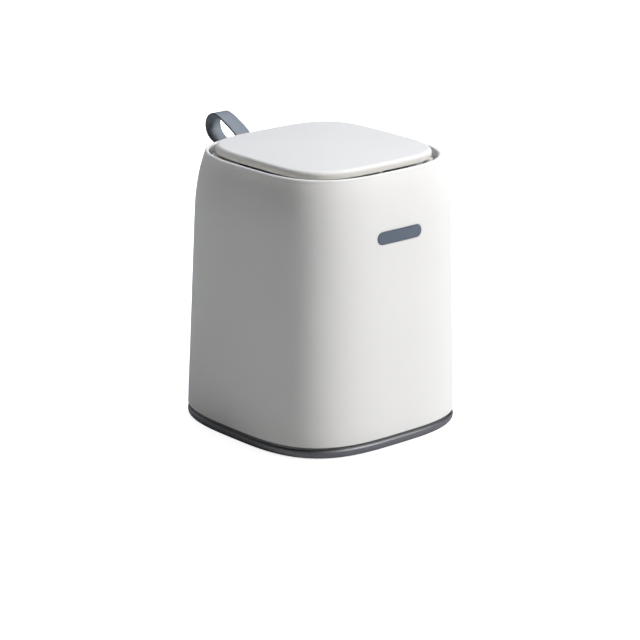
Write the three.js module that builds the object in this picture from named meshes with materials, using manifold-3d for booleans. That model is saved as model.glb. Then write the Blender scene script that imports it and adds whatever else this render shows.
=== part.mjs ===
import * as THREE from "three";
import { mergeVertices } from "three/addons/utils/BufferGeometryUtils.js";
import Module from "manifold-3d";

// Desktop trash can with a press-open lid. Millimetres, +Z up, front towards -Y.
// The origin is the centre of the flat underside of the base tray.

// Shared clearances and mesh fineness
const fit = 0.3;
const overrun = 2;
const weldGap = 0.0001;
const bodyExponent = 3.2;
const lidExponent = 3.9;
const bodySegments = 40;
const smallSegments = 12;
const roundSteps = 3;

// Outer shell: one moulded wall with a thin round rim and a ledge inside it.
// The wall tapers evenly, then falls away into the shoulder by a power curve.
const shellFootZ = 7.5;
const shellTopZ = 179.64;
const shellBaseHalf = 77.5;
const shellWall = 2.2;
const shellTaper = 5.4;
const shoulderHeight = 42.6;
const shoulderFall = 4.7;
const shoulderPower = 2.45;
const shoulderSteps = 6;
const rimRound = 1.2;
const ledgeDepth = 6.64;
const ledgeReach = 4.7;
const ledgeThickness = 2;

// Base tray
const trayProud = 0.8;
const trayEdgeReach = 3.1;
const trayFloor = 2.4;
const grooveHeight = 2.2;
const grooveDepth = 1.5;
const upstandHeight = 5.5;
const upstandWall = 1.8;
const upstandLead = 0.8;
const bucketRingWall = 1.4;
const bucketRingHeight = 2.6;
const trayEdgeShares = [
  [0, 0],
  [0.55, 0.1],
  [0.87, 0.29],
  [1, 0.55],
  [0.9, 0.82],
  [0.55, 1],
];

// Feet
const footRadius = 5;
const footHeight = 1.5;
const footProud = 1;
const footInset = 24.3;
const footEdge = 0.4;

// Inner bucket
const bucketHeadroom = 4.9;
const bucketSideGap = 4.4;
const bucketTaper = 6;
const bucketWall = 1.6;
const bucketFootRound = 3;
const bucketLipReach = 1.7;
const bucketLipHeight = 3;

// Top frame under the ledge, with the mouth and its skirt
const frameSideGap = 2.2;
const framePlate = 2;
const mouthMargin = 17.2;
const skirtWall = 1.6;
const skirtDrop = 12.7;

// Screws that hold the frame to the shell
const bossInset = 1.26;
const bossRadius = 3.2;
const bossHeight = 5.5;
const bossRoof = 0.9;
const screwShank = 1.1;
const screwHead = 2.6;
const screwHeadHeight = 1.8;
const screwDepth = 4.3;

// Lid cover
const lidGap = 6.2;
const lidFootDrop = 1.44;
const lidHeight = 5.2;
const lidRound = 2.5;
const lidCrown = 2;
const lidCrownShare = 0.72;
const lidSkin = 2;
const lidFootChamfer = 0.4;

// Panel under the lid
const panelRecess = 0.7;
const panelThickness = 1.4;
const panelPlay = 0.4;

// Hinge at the back of the mouth, one pin in each station
const hingeInset = 1.4;
const hingeRise = 2;
const knuckleRadius = 1.9;
const knucklePlay = 0.4;
const hingePinRadius = 0.8;
const stationPlace = 18;
const earHalf = 2.2;
const earNeck = 2.6;
const outerLugLength = 4.6;
const innerLugLength = 3.9;
const lugRoot = 6;
const lidSpringRoom = 3.9;

// Lid springs, one torsion coil in each station
const lidSpringWire = 0.2;
const lidSpringRadius = 1.45;
const lidSpringLength = 2.9;
const lidSpringTurns = 3.75;
const lidSpringReach = 7.4;
const lidSpringDip = 1.2;
const lidSpringSteps = 38;
const springSides = 5;
const springSteps = 7;

// Catch under the front of the lid
const catchGap = 0.8;
const housingHalfX = 11.2;
const housingHalfY = 3.8;
const housingDepth = 10.2;
const housingFloor = 1.5;
const housingWallX = 1.4;
const housingWallY = 1.2;
const flangeThickness = 1.4;
const flangeReachX = 4.8;
const flangeReachY = 1.3;
const catchScrewShank = 0.9;
const catchScrewHead = 1.9;
const catchScrewHeadHeight = 1.1;
const catchScrewDepth = 5;
const catchBossRadius = 2.2;
const catchBossHeight = 3.6;

// Striker on the lid
const strikerHeadHalf = 2.2;
const strikerHeadHeight = 2.2;
const strikerStemHalf = 1.2;
const strikerDepthHalf = 1.3;
const strikerPlateHalfX = 7;
const strikerPlateHalfY = 2.1;
const strikerPlateHeight = 1.3;
const strikerClipHalf = 2.1;
const strikerClipHeight = 0.5;

// Plunger and its spring
const plungerHalfX = 3.7;
const plungerHeight = 2.5;
const plungerStem = 1.1;
const plungerStemDrop = 3.2;
const catchSpringWire = 0.25;
const catchSpringRadius = 1.85;
const catchSpringTurns = 4.5;

// Claws
const clawGap = 0.7;
const clawFloorGap = 0.5;
const clawEyeRadius = 2;
const clawPinRadius = 0.8;
const clawArmHalf = 1.2;
const clawHookReach = 1.5;
const clawHookHeight = 1.5;

// Badge on the front wall
const badgeDrop = 40.2;
const badgeHalfLength = 18.75;
const badgeHalfHeight = 4;
const badgeThickness = 0.9;
const badgeSeatDepth = 0.95;

// Strap loop at the back
const strapWidth = 12.5;
const strapThickness = 1.5;
const strapDrop = 25.44;
const strapRootRadius = 1.6;
const strapBendPlay = 0.9;
const strapTailLength = 14;
const strapReach = 37.9;
const strapRise = 32.2;
const strapSteps = 40;
// Centre line of the loop, from the root out and back, as shares of its reach and its rise
const strapLoopShares = [
  [-0.015, 0.041],
  [0.036, 0.273],
  [0.1, 0.51],
  [0.174, 0.665],
  [0.327, 0.789],
  [0.454, 0.866],
  [0.596, 0.947],
  [0.723, 0.994],
  [0.797, 1],
  [0.879, 0.966],
  [0.953, 0.894],
  [0.992, 0.795],
  [1, 0.693],
  [0.966, 0.568],
  [0.889, 0.469],
  [0.765, 0.394],
  [0.517, 0.26],
  [0.227, 0.109],
  [0.009, 0.01],
];

// Rivets and backing plate of the strap
const rivetShank = 1.3;
const rivetHead = 2.75;
const rivetHeadHeight = 1.2;
const rivetCrownShare = 0.8;
const rivetEdgeShare = 0.75;
const rivetInnerHead = 2.2;
const rivetPitch = 5.8;
const rivetFirstDrop = 5.4;
const plateHalfWidth = 5;
const plateEndReach = 3.4;
const plateThickness = 1.2;

// Materials
const finish = (color, roughness, metalness = 0) =>
  new THREE.MeshStandardMaterial({ color, roughness, metalness });
const whitePlastic = finish(0xebebea, 0.42);
const greyPlastic = finish(0x4c545f, 0.5);
const slateLeather = finish(0x5f6b7b, 0.62);
const palePlastic = finish(0xd6d9dd, 0.5);
const catchPlastic = finish(0xf2f2ee, 0.38);
const steel = finish(0xb9bcc0, 0.32, 1);
const rubber = finish(0x2d3035, 0.8);

const wasm = await Module();
wasm.setup();

// A closed geometry as a solid for joins and cuts
function solidOf(geometry) {
  const bare = new THREE.BufferGeometry();
  bare.setAttribute("position", geometry.getAttribute("position").clone());
  bare.setIndex(geometry.getIndex());
  const merged = mergeVertices(bare, weldGap);
  const index = merged.getIndex().array;
  const triangles = [];
  for (let i = 0; i < index.length; i += 3) {
    const [a, b, c] = [index[i], index[i + 1], index[i + 2]];
    if (a !== b && b !== c && a !== c) triangles.push(a, b, c);
  }
  return new wasm.Manifold(
    new wasm.Mesh({
      numProp: 3,
      vertProperties: merged.getAttribute("position").array,
      triVerts: new Uint32Array(triangles),
    }),
  );
}

function geometryOf(solid) {
  const mesh = solid.getMesh();
  const geometry = new THREE.BufferGeometry();
  geometry.setAttribute(
    "position",
    new THREE.Float32BufferAttribute(Float32Array.from(mesh.vertProperties), 3),
  );
  geometry.setIndex(Array.from(mesh.triVerts));
  return geometry;
}

const join = (first, ...others) =>
  geometryOf(others.reduce((sum, g) => sum.add(solidOf(g)), solidOf(first)));

const cut = (first, ...others) =>
  geometryOf(others.reduce((sum, g) => sum.subtract(solidOf(g)), solidOf(first)));

// Heights and half widths that several pieces share
const rimTurnZ = shellTopZ - rimRound;
const shoulderFootZ = rimTurnZ - shoulderHeight;
const rimOuterHalf = shellBaseHalf - shellTaper - shoulderFall;
const rimCrestHalf = rimOuterHalf - rimRound;
const rimInnerHalf = rimOuterHalf - shellWall;
const ledgeInnerHalf = rimInnerHalf - ledgeReach;
const ledgeTopZ = shellTopZ - ledgeDepth;
const ledgeFootZ = ledgeTopZ - ledgeThickness;
const frameTopZ = ledgeFootZ - fit;
const frameFootZ = frameTopZ - framePlate;
const mouthHalf = rimInnerHalf - mouthMargin;
const skirtHalf = mouthHalf + skirtWall;
const lidHalf = rimInnerHalf - lidGap;
const lidFootZ = shellTopZ - lidFootDrop;
const lidEdgeZ = lidFootZ + lidHeight;
const panelFootZ = lidFootZ + panelRecess;
const hingeY = lidHalf - hingeInset;
const hingeZ = lidFootZ + hingeRise;
const catchY = -(skirtHalf + catchGap + housingHalfY);
const badgeZ = shellTopZ - badgeDrop;
const strapRootZ = shellTopZ - strapDrop;

// How far a rounded square of half width 1 reaches at a given angle
function squareReach(angle, exponent) {
  const c = Math.abs(Math.cos(angle)) ** exponent;
  const s = Math.abs(Math.sin(angle)) ** exponent;
  return (c + s) ** (-1 / exponent);
}

const cornerReach = squareReach(Math.PI / 4, bodyExponent);
const bossPlace = (ledgeInnerHalf * cornerReach - bossInset) * Math.SQRT1_2;

// A profile of [half width, z] pairs turned round Z, upright
function turned(profile, segments) {
  const points = profile.map(([r, z]) => new THREE.Vector2(r, z));
  const geometry = new THREE.LatheGeometry(points, segments);
  return geometry.rotateX(Math.PI / 2);
}

// The same, with the circle drawn out to a rounded square
function turnedSquare(profile, exponent) {
  const geometry = turned(profile, bodySegments);
  const position = geometry.getAttribute("position");
  for (let i = 0; i < position.count; i += 1) {
    const x = position.getX(i);
    const y = position.getY(i);
    const reach = squareReach(Math.atan2(y, x), exponent);
    position.setXY(i, x * reach, y * reach);
  }
  return geometry;
}

function arc(centreR, centreZ, radiusR, radiusZ, from, to) {
  const points = [];
  for (let i = 0; i <= roundSteps; i += 1) {
    const angle = ((from + ((to - from) * i) / roundSteps) * Math.PI) / 180;
    points.push([centreR + radiusR * Math.cos(angle), centreZ + radiusZ * Math.sin(angle)]);
  }
  return points;
}

const closed = (profile) => [...profile, profile[0]];

function block(x0, x1, y0, y1, z0, z1) {
  const geometry = new THREE.BoxGeometry(x1 - x0, y1 - y0, z1 - z0);
  return geometry.translate((x0 + x1) / 2, (y0 + y1) / 2, (z0 + z1) / 2);
}

function rodZ(radius, x, y, z0, z1, sides = smallSegments) {
  const geometry = new THREE.CylinderGeometry(radius, radius, z1 - z0, sides);
  return geometry.rotateX(Math.PI / 2).translate(x, y, (z0 + z1) / 2);
}

function rodX(radius, x0, x1, y, z, sides = smallSegments) {
  const geometry = new THREE.CylinderGeometry(radius, radius, x1 - x0, sides);
  return geometry.rotateZ(Math.PI / 2).translate((x0 + x1) / 2, y, z);
}

function rodY(radius, x, y0, y1, z, sides = smallSegments) {
  const geometry = new THREE.CylinderGeometry(radius, radius, y1 - y0, sides);
  return geometry.translate(x, (y0 + y1) / 2, z);
}

// A wire of round section along a curve, closed at both ends
function wire(curve, radius, steps) {
  const section = new THREE.Shape();
  for (let i = 0; i < springSides; i += 1) {
    const angle = (2 * Math.PI * i) / springSides;
    const [u, v] = [radius * Math.cos(angle), radius * Math.sin(angle)];
    if (i === 0) section.moveTo(u, v);
    else section.lineTo(u, v);
  }
  section.closePath();
  return new THREE.ExtrudeGeometry(section, { steps, extrudePath: curve, bevelEnabled: false });
}

const part = new THREE.Group();

function place(name, geometry, material, holder = part) {
  const mesh = new THREE.Mesh(geometry, material.clone());
  mesh.name = name;
  holder.add(mesh);
  return mesh;
}

// Outer half width of the shell wall at a height
function wallHalf(z) {
  const even = (z - shellFootZ) / (rimTurnZ - shellFootZ);
  const above = Math.max(0, (z - shoulderFootZ) / shoulderHeight);
  return shellBaseHalf - shellTaper * even - shoulderFall * above ** shoulderPower;
}

// Base tray, with the upstand that the shell drops over and the ring that seats the bucket
const trayHalf = shellBaseHalf + trayProud;
const trayUndersideHalf = trayHalf - trayEdgeReach;
const trayEdgeZ = shellFootZ - grooveHeight;
const upstandTopZ = shellFootZ + upstandHeight;
const bucketTopZ = frameFootZ - bucketHeadroom;
const bucketLipHalf = wallHalf(bucketTopZ) - shellWall - bucketSideGap;
const bucketRimHalf = bucketLipHalf - bucketLipReach;
const bucketFootHalf = bucketRimHalf - bucketTaper;
const shellInnerFoot = shellBaseHalf - shellWall;
const upstandHalf = shellInnerFoot - fit;
const seatZ = shellFootZ - fit;
const ringInnerHalf = bucketFootHalf + fit;
const trayBody = turnedSquare(
  [
    [0, 0],
    ...trayEdgeShares.map(([w, h]) => [
      trayUndersideHalf + (trayHalf - trayUndersideHalf) * w,
      trayEdgeZ * h,
    ]),
    [shellBaseHalf - grooveDepth, trayEdgeZ],
    [shellBaseHalf - grooveDepth, seatZ],
    [upstandHalf, seatZ],
    [upstandHalf, upstandTopZ - upstandLead],
    [upstandHalf - upstandLead, upstandTopZ],
    [upstandHalf - upstandWall, upstandTopZ],
    [upstandHalf - upstandWall, trayFloor],
    [ringInnerHalf + bucketRingWall, trayFloor],
    [ringInnerHalf + bucketRingWall, trayFloor + bucketRingHeight],
    [ringInnerHalf, trayFloor + bucketRingHeight],
    [ringInnerHalf, trayFloor],
    [0, trayFloor],
  ],
  bodyExponent,
);
const corners = [
  [-1, -1, "front_left"],
  [1, -1, "front_right"],
  [-1, 1, "back_left"],
  [1, 1, "back_right"],
];
const footSeat = footHeight - footProud + fit;
const footPlace = trayHalf - footInset;
const footSeats = corners.map(([i, j]) =>
  rodZ(footRadius + fit, i * footPlace, j * footPlace, -overrun, footSeat),
);
place("base_tray", cut(trayBody, ...footSeats), greyPlastic);

// Soft feet pressed into the underside
for (const [i, j, corner] of corners) {
  const foot = turned(
    [
      [0, -footProud],
      [footRadius - footEdge, -footProud],
      [footRadius, footEdge - footProud],
      [footRadius, footHeight - footProud],
      [0, footHeight - footProud],
    ],
    smallSegments,
  );
  place(`foot_${corner}`, foot, rubber).position.set(i * footPlace, j * footPlace, 0);
}

// Inner bucket, which lifts out once the shell is off
const bucketFootZ = trayFloor + fit;
const bucketLipZ = bucketTopZ - bucketLipHeight;
place(
  "inner_bucket",
  turnedSquare(
    [
      [0, bucketFootZ],
      [bucketFootHalf - bucketFootRound, bucketFootZ],
      [bucketFootHalf, bucketFootZ + bucketFootRound],
      [bucketRimHalf, bucketLipZ],
      [bucketLipHalf, bucketLipZ],
      [bucketLipHalf, bucketTopZ - bucketWall],
      [bucketLipHalf - bucketWall, bucketTopZ],
      [bucketRimHalf - bucketWall, bucketTopZ],
      [bucketFootHalf - bucketWall, bucketFootZ + bucketFootRound],
      [bucketFootHalf - bucketFootRound, bucketFootZ + bucketWall],
      [0, bucketFootZ + bucketWall],
    ],
    bodyExponent,
  ),
  palePlastic,
);

// Wall frames: groups whose +Y looks straight out of the sloping wall
function wallGroup(z, side, probe) {
  const group = new THREE.Group();
  const slope = (wallHalf(z - probe) - wallHalf(z + probe)) / (2 * probe);
  group.position.set(0, side * wallHalf(z), z);
  group.rotation.x = side * Math.atan(slope);
  group.updateMatrixWorld(true);
  part.add(group);
  return group;
}

const badgeWall = wallGroup(badgeZ, -1, badgeHalfHeight);
const strapWall = wallGroup(strapRootZ - strapTailLength / 2, 1, strapTailLength / 2);
const inWall = (group, geometry) => geometry.applyMatrix4(group.matrixWorld);

// A flat plate with round ends, lying against a wall on the -Y side
function pill(halfLength, halfHeight, thickness) {
  const shape = new THREE.Shape();
  const flat = halfLength - halfHeight;
  shape.moveTo(-flat, -halfHeight);
  shape.lineTo(flat, -halfHeight);
  shape.absarc(flat, 0, halfHeight, -Math.PI / 2, Math.PI / 2, false);
  shape.lineTo(-flat, halfHeight);
  shape.absarc(-flat, 0, halfHeight, Math.PI / 2, (3 * Math.PI) / 2, false);
  const geometry = new THREE.ExtrudeGeometry(shape, {
    depth: thickness,
    bevelEnabled: false,
    curveSegments: smallSegments,
  });
  return geometry.rotateX(Math.PI / 2);
}

// Outer shell
const shellOuter = [[shellBaseHalf, shellFootZ]];
for (let i = 0; i < shoulderSteps; i += 1) {
  const z = shoulderFootZ + (shoulderHeight * i) / shoulderSteps;
  shellOuter.push([wallHalf(z), z]);
}
const innerWall = (z) => [wallHalf(z) - shellWall, z];
const shellInner = shellOuter
  .filter(([, z]) => z < ledgeFootZ)
  .reverse()
  .map(([, z]) => innerWall(z));
const rimInnerRound = rimCrestHalf - rimInnerHalf;
const shellBody = turnedSquare(
  closed([
    ...shellOuter,
    ...arc(rimCrestHalf, rimTurnZ, rimRound, rimRound, 0, 90),
    ...arc(rimCrestHalf, shellTopZ - rimInnerRound, rimInnerRound, rimInnerRound, 90, 180).slice(1),
    innerWall(ledgeTopZ),
    [ledgeInnerHalf, ledgeTopZ],
    [ledgeInnerHalf, ledgeFootZ],
    innerWall(ledgeFootZ),
    ...shellInner,
  ]),
  bodyExponent,
);
const bosses = corners.map(([i, j]) =>
  rodZ(bossRadius, i * bossPlace, j * bossPlace, ledgeFootZ, ledgeFootZ + bossHeight),
);
const bossHoles = corners.map(([i, j]) =>
  rodZ(
    screwShank + fit,
    i * bossPlace,
    j * bossPlace,
    ledgeFootZ - overrun,
    ledgeFootZ + bossHeight - bossRoof,
  ),
);
const tailTop = strapTailLength / 2;
const rivetZs = [tailTop - rivetFirstDrop, tailTop - rivetFirstDrop - rivetPitch];
const rivetHoles = rivetZs.map((z) =>
  inWall(strapWall, rodY(rivetShank + fit, 0, -shellWall - overrun, overrun, z)),
);
const badgeSeat = inWall(
  badgeWall,
  pill(badgeHalfLength + fit, badgeHalfHeight + fit, overrun).translate(0, badgeSeatDepth, 0),
);
place(
  "outer_shell",
  cut(join(shellBody, ...bosses), ...bossHoles, ...rivetHoles, badgeSeat),
  whitePlastic,
);

// Badge plate, bonded in its seat
place(
  "front_badge",
  pill(badgeHalfLength, badgeHalfHeight, badgeThickness).translate(0, badgeSeatDepth - fit, 0),
  slateLeather,
  badgeWall,
);

// Top frame with the mouth, the skirt, the hinge ears and the seat of the catch
const frameHalf = wallHalf(frameTopZ) - shellWall - frameSideGap;
const housingFootZ = frameTopZ - housingDepth;
const housingTopZ = frameTopZ + fit + flangeThickness;
const catchScrewX = housingHalfX + flangeReachX / 2;
const frameBody = turnedSquare(
  closed([
    [mouthHalf, frameTopZ - skirtDrop],
    [skirtHalf, frameTopZ - skirtDrop],
    [skirtHalf, frameFootZ],
    [frameHalf, frameFootZ],
    [frameHalf, frameTopZ],
    [mouthHalf, frameTopZ],
  ]),
  bodyExponent,
);
const stations = [
  [-1, "left"],
  [1, "right"],
];
const across = (side, from, to) => [
  Math.min(side * from, side * to),
  Math.max(side * from, side * to),
];
const earFrom = stationPlace - earHalf;
const earTo = stationPlace + earHalf;
const ears = stations.flatMap(([side]) => {
  const [x0, x1] = across(side, earFrom, earTo);
  return [
    rodX(knuckleRadius, x0, x1, hingeY, hingeZ),
    block(x0, x1, hingeY - earNeck / 2, hingeY + earNeck / 2, frameFootZ, hingeZ),
  ];
});
const hingeBores = stations.map(([side]) => {
  const [x0, x1] = across(side, overrun, frameHalf);
  return rodX(hingePinRadius + fit, x0, x1, hingeY, hingeZ);
});
const catchBosses = stations.map(([side]) =>
  rodZ(catchBossRadius, side * catchScrewX, catchY, frameFootZ - catchBossHeight, frameTopZ),
);
const catchScrewHoles = stations.map(([side]) =>
  rodZ(
    catchScrewShank + fit,
    side * catchScrewX,
    catchY,
    frameFootZ - catchBossHeight - overrun,
    frameTopZ + overrun,
  ),
);
const housingHole = block(
  -housingHalfX - fit,
  housingHalfX + fit,
  catchY - housingHalfY - fit,
  catchY + housingHalfY + fit,
  housingFootZ - overrun,
  frameTopZ + overrun,
);
const frameScrewHoles = corners.map(([i, j]) =>
  rodZ(
    screwShank + fit,
    i * bossPlace,
    j * bossPlace,
    frameFootZ - overrun,
    frameTopZ + overrun,
  ),
);
place(
  "top_frame",
  cut(
    join(frameBody, ...ears, ...catchBosses),
    ...hingeBores,
    ...catchScrewHoles,
    ...frameScrewHoles,
    housingHole,
  ),
  palePlastic,
);

// Frame screws, driven up from below
function screw(shank, head, headHeight, length) {
  return turned(
    [
      [0, -headHeight],
      [head, -headHeight],
      [head, 0],
      [shank, 0],
      [shank, length],
      [0, length],
    ],
    smallSegments,
  );
}
for (const [i, j, corner] of corners) {
  const seat = frameFootZ - fit;
  const length = ledgeFootZ + screwDepth - seat;
  const mesh = place(
    `frame_screw_${corner}`,
    screw(screwShank, screwHead, screwHeadHeight, length),
    steel,
  );
  mesh.position.set(i * bossPlace, j * bossPlace, seat);
}

// Lid cover: a domed skin with a short skirt, notched for the hinge
const lidInnerHalf = lidHalf - lidSkin;
const lidTurnHalf = lidHalf - lidRound;
const lidTurnZ = lidEdgeZ - lidRound;
const lidBody = turnedSquare(
  [
    [0, lidEdgeZ + lidCrown - lidSkin],
    [lidTurnHalf / 2, lidEdgeZ + lidCrown * lidCrownShare - lidSkin],
    [lidTurnHalf - lidSkin / 2, lidEdgeZ - lidSkin],
    [lidInnerHalf, lidTurnZ],
    [lidInnerHalf, lidFootZ],
    [lidHalf - lidFootChamfer, lidFootZ],
    [lidHalf, lidFootZ + lidFootChamfer],
    ...arc(lidTurnHalf, lidTurnZ, lidRound, lidRound, 0, 90),
    [lidTurnHalf / 2, lidEdgeZ + lidCrown * lidCrownShare],
    [0, lidEdgeZ + lidCrown],
  ],
  lidExponent,
);
const stationInner = earFrom - lidSpringRoom - innerLugLength - fit;
const stationOuter = earTo + knucklePlay + outerLugLength + fit;
const pocketRadius = knuckleRadius + knucklePlay;
function pocket(side, from, to) {
  const [x0, x1] = across(side, from, to);
  return [
    rodX(pocketRadius, x0, x1, hingeY, hingeZ),
    block(x0, x1, hingeY - pocketRadius, hingeY + pocketRadius, lidFootZ - overrun, hingeZ),
  ];
}
place(
  "lid_cover",
  cut(lidBody, ...stations.flatMap(([side]) => pocket(side, stationInner, stationOuter))),
  whitePlastic,
);

// Panel under the lid, with the hinge lugs and the slot of the striker
const panelHalf = lidInnerHalf - panelPlay;
const panelTopZ = panelFootZ + panelThickness;
const panelBody = turnedSquare(
  [
    [0, panelFootZ],
    [panelHalf, panelFootZ],
    [panelHalf, panelTopZ],
    [0, panelTopZ],
  ],
  lidExponent,
);
const springFrom = earFrom - lidSpringRoom;
const earPockets = stations.flatMap(([side]) =>
  pocket(side, springFrom, earTo + knucklePlay),
);
const lugs = stations.flatMap(([side]) => {
  const outer = across(side, earTo + knucklePlay, earTo + knucklePlay + outerLugLength);
  const inner = across(side, springFrom - innerLugLength, springFrom);
  return [outer, inner].flatMap(([x0, x1]) => [
    rodX(knuckleRadius, x0, x1, hingeY, hingeZ),
    block(x0, x1, hingeY - lugRoot, hingeY, panelFootZ, panelTopZ),
  ]);
});
const strikerSlot = block(
  -strikerStemHalf - fit,
  strikerStemHalf + fit,
  catchY - strikerDepthHalf - fit,
  catchY + strikerDepthHalf + fit,
  panelFootZ - overrun,
  panelTopZ + overrun,
);
place(
  "lid_inner_panel",
  cut(join(cut(panelBody, ...earPockets), ...lugs), ...hingeBores, strikerSlot),
  palePlastic,
);

// Hinge pins
for (const [side, hand] of stations) {
  const [x0, x1] = across(side, stationInner + fit, stationOuter - fit);
  place(`hinge_pin_${hand}`, rodX(hingePinRadius, x0, x1, hingeY, hingeZ), steel);
}

// Lid springs: a coil round the pin, one leg down to the frame, one under the panel
class LidSpringCurve extends THREE.Curve {
  constructor(side) {
    super();
    this.side = side;
    this.drop = hingeZ - frameTopZ - fit - lidSpringWire;
    this.wound = 2 * Math.PI * lidSpringTurns * lidSpringRadius;
    this.total = this.drop + this.wound + lidSpringReach;
  }

  getPoint(t, target = new THREE.Vector3()) {
    const run = t * this.total;
    const coil = THREE.MathUtils.clamp((run - this.drop) / this.wound, 0, 1);
    const below = Math.max(0, this.drop - run);
    const beyond = Math.max(0, run - this.drop - this.wound);
    const angle = Math.PI * (1 - 2 * lidSpringTurns * coil);
    const x = this.side * (earFrom - fit - lidSpringWire - lidSpringLength * coil);
    const y = hingeY + lidSpringRadius * Math.cos(angle) - beyond;
    const dip = (lidSpringDip * beyond) / lidSpringReach;
    const z = hingeZ + lidSpringRadius * Math.sin(angle) - below - dip;
    return target.set(x, y, z);
  }
}
for (const [side, hand] of stations) {
  const curve = new LidSpringCurve(side);
  place(`lid_spring_${hand}`, wire(curve, lidSpringWire, lidSpringSteps), steel);
}

// Striker, clipped through the panel, with the head that the claws hold
const strikerPlateTopZ = panelFootZ - fit;
const strikerPlateFootZ = strikerPlateTopZ - strikerPlateHeight;
const strikerHeadTopZ = housingTopZ;
const strikerHeadFootZ = strikerHeadTopZ - strikerHeadHeight;
function strikerBlock(halfX, halfY, z0, z1) {
  return block(-halfX, halfX, catchY - halfY, catchY + halfY, z0, z1);
}
const clipFootZ = panelTopZ + fit;
const clipTopZ = clipFootZ + strikerClipHeight;
place(
  "lid_striker",
  join(
    strikerBlock(strikerHeadHalf, strikerDepthHalf, strikerHeadFootZ, strikerHeadTopZ),
    strikerBlock(strikerStemHalf, strikerDepthHalf, strikerHeadFootZ, clipTopZ),
    strikerBlock(strikerPlateHalfX, strikerPlateHalfY, strikerPlateFootZ, strikerPlateTopZ),
    strikerBlock(strikerClipHalf, strikerDepthHalf, clipFootZ, clipTopZ),
  ),
  catchPlastic,
);

// Catch housing, hung in the frame by its flange
const flangeFootZ = frameTopZ + fit;
const cavityHalfY = housingHalfY - housingWallY;
const cavityFootZ = housingFootZ + housingFloor;
const clawPivotX = plungerHalfX + clawGap + clawArmHalf;
const clawPivotZ = cavityFootZ + clawFloorGap + clawEyeRadius;
const flangeHalfX = housingHalfX + flangeReachX;
const flangeHalfY = housingHalfY + flangeReachY;
const clawPinHoles = stations.map(([side]) =>
  rodY(
    clawPinRadius + fit,
    side * clawPivotX,
    catchY - housingHalfY - overrun,
    catchY + housingHalfY + overrun,
    clawPivotZ,
  ),
);
const flangeHoles = stations.map(([side]) =>
  rodZ(
    catchScrewShank + fit,
    side * catchScrewX,
    catchY,
    flangeFootZ - overrun,
    housingTopZ + overrun,
  ),
);
place(
  "catch_housing",
  cut(
    join(
      strikerBlock(housingHalfX, housingHalfY, housingFootZ, housingTopZ),
      strikerBlock(flangeHalfX, flangeHalfY, flangeFootZ, housingTopZ),
    ),
    strikerBlock(
      housingHalfX - housingWallX,
      cavityHalfY,
      cavityFootZ,
      housingTopZ + overrun,
    ),
    ...clawPinHoles,
    ...flangeHoles,
  ),
  catchPlastic,
);

// Screws that hold the catch to the frame, driven down through the flange
for (const [side, hand] of stations) {
  const seat = housingTopZ + fit;
  const length = seat - frameTopZ + catchScrewDepth;
  const driven = screw(catchScrewShank, catchScrewHead, catchScrewHeadHeight, length);
  const mesh = place(`catch_screw_${hand}`, driven.rotateX(Math.PI), steel);
  mesh.position.set(side * catchScrewX, catchY, seat);
}

// Plunger, which the lid presses down to spread the claws
const plungerTopZ = strikerHeadFootZ - fit;
const plungerFootZ = plungerTopZ - plungerHeight;
const slideHalfY = cavityHalfY - fit;
place(
  "catch_plunger",
  join(
    strikerBlock(plungerHalfX, slideHalfY, plungerFootZ, plungerTopZ),
    rodZ(plungerStem, 0, catchY, plungerFootZ - plungerStemDrop, plungerTopZ - plungerStem),
  ),
  catchPlastic,
);

// Plunger spring, a helix round the stem
class CatchSpringCurve extends THREE.Curve {
  getPoint(t, target = new THREE.Vector3()) {
    const angle = 2 * Math.PI * catchSpringTurns * t;
    const from = cavityFootZ + fit + catchSpringWire;
    const to = plungerFootZ - fit - catchSpringWire;
    return target.set(
      catchSpringRadius * Math.cos(angle),
      catchY + catchSpringRadius * Math.sin(angle),
      from + (to - from) * t,
    );
  }
}
const catchSpringSteps = Math.round(springSteps * catchSpringTurns);
place("catch_spring", wire(new CatchSpringCurve(), catchSpringWire, catchSpringSteps), steel);

// Claws that hook over the striker head, each on its pin in the housing
const hookFootZ = strikerHeadTopZ + fit;
const hookTopZ = hookFootZ + clawHookHeight;
for (const [side, hand] of stations) {
  const pivotX = side * clawPivotX;
  const [armX0, armX1] = across(side, clawPivotX - clawArmHalf, clawPivotX + clawArmHalf);
  const [hookX0, hookX1] = across(side, clawHookReach, clawPivotX + clawArmHalf);
  const y0 = catchY - slideHalfY;
  const y1 = catchY + slideHalfY;
  const claw = join(
    rodY(clawEyeRadius, pivotX, y0, y1, clawPivotZ),
    block(armX0, armX1, y0, y1, clawPivotZ, hookTopZ),
    block(hookX0, hookX1, y0, y1, hookFootZ, hookTopZ),
  );
  const bore = rodY(clawPinRadius + fit, pivotX, y0 - overrun, y1 + overrun, clawPivotZ);
  place(`catch_claw_${hand}`, cut(claw, bore), catchPlastic);
  place(
    `claw_pin_${hand}`,
    rodY(clawPinRadius, pivotX, catchY - housingHalfY, catchY + housingHalfY, clawPivotZ),
    steel,
  );
}

// Strap: both ends lie one over the other on the back wall, riveted through it
const innerTailY = fit;
const outerTailY = innerTailY + strapThickness + fit;
const strapOutY = outerTailY + strapThickness;
const rootLocal = new THREE.Vector3(0, (innerTailY + strapOutY) / 2, tailTop);
const root = strapWall.localToWorld(rootLocal.clone());
const tailHoles = rivetZs.map((z) =>
  rodY(rivetShank + fit, 0, -overrun, strapOutY + overrun, z),
);
for (const [name, y, play] of [
  ["strap_end_inner", innerTailY, fit],
  ["strap_end_outer", outerTailY, strapBendPlay],
]) {
  const notch = rodX(
    strapRootRadius + play,
    -strapWidth / 2 - overrun,
    strapWidth / 2 + overrun,
    rootLocal.y,
    rootLocal.z,
  );
  const tail = block(
    -strapWidth / 2,
    strapWidth / 2,
    y,
    y + strapThickness,
    -tailTop,
    tailTop,
  );
  place(name, cut(tail, notch, ...tailHoles), slateLeather, strapWall);
}

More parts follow.
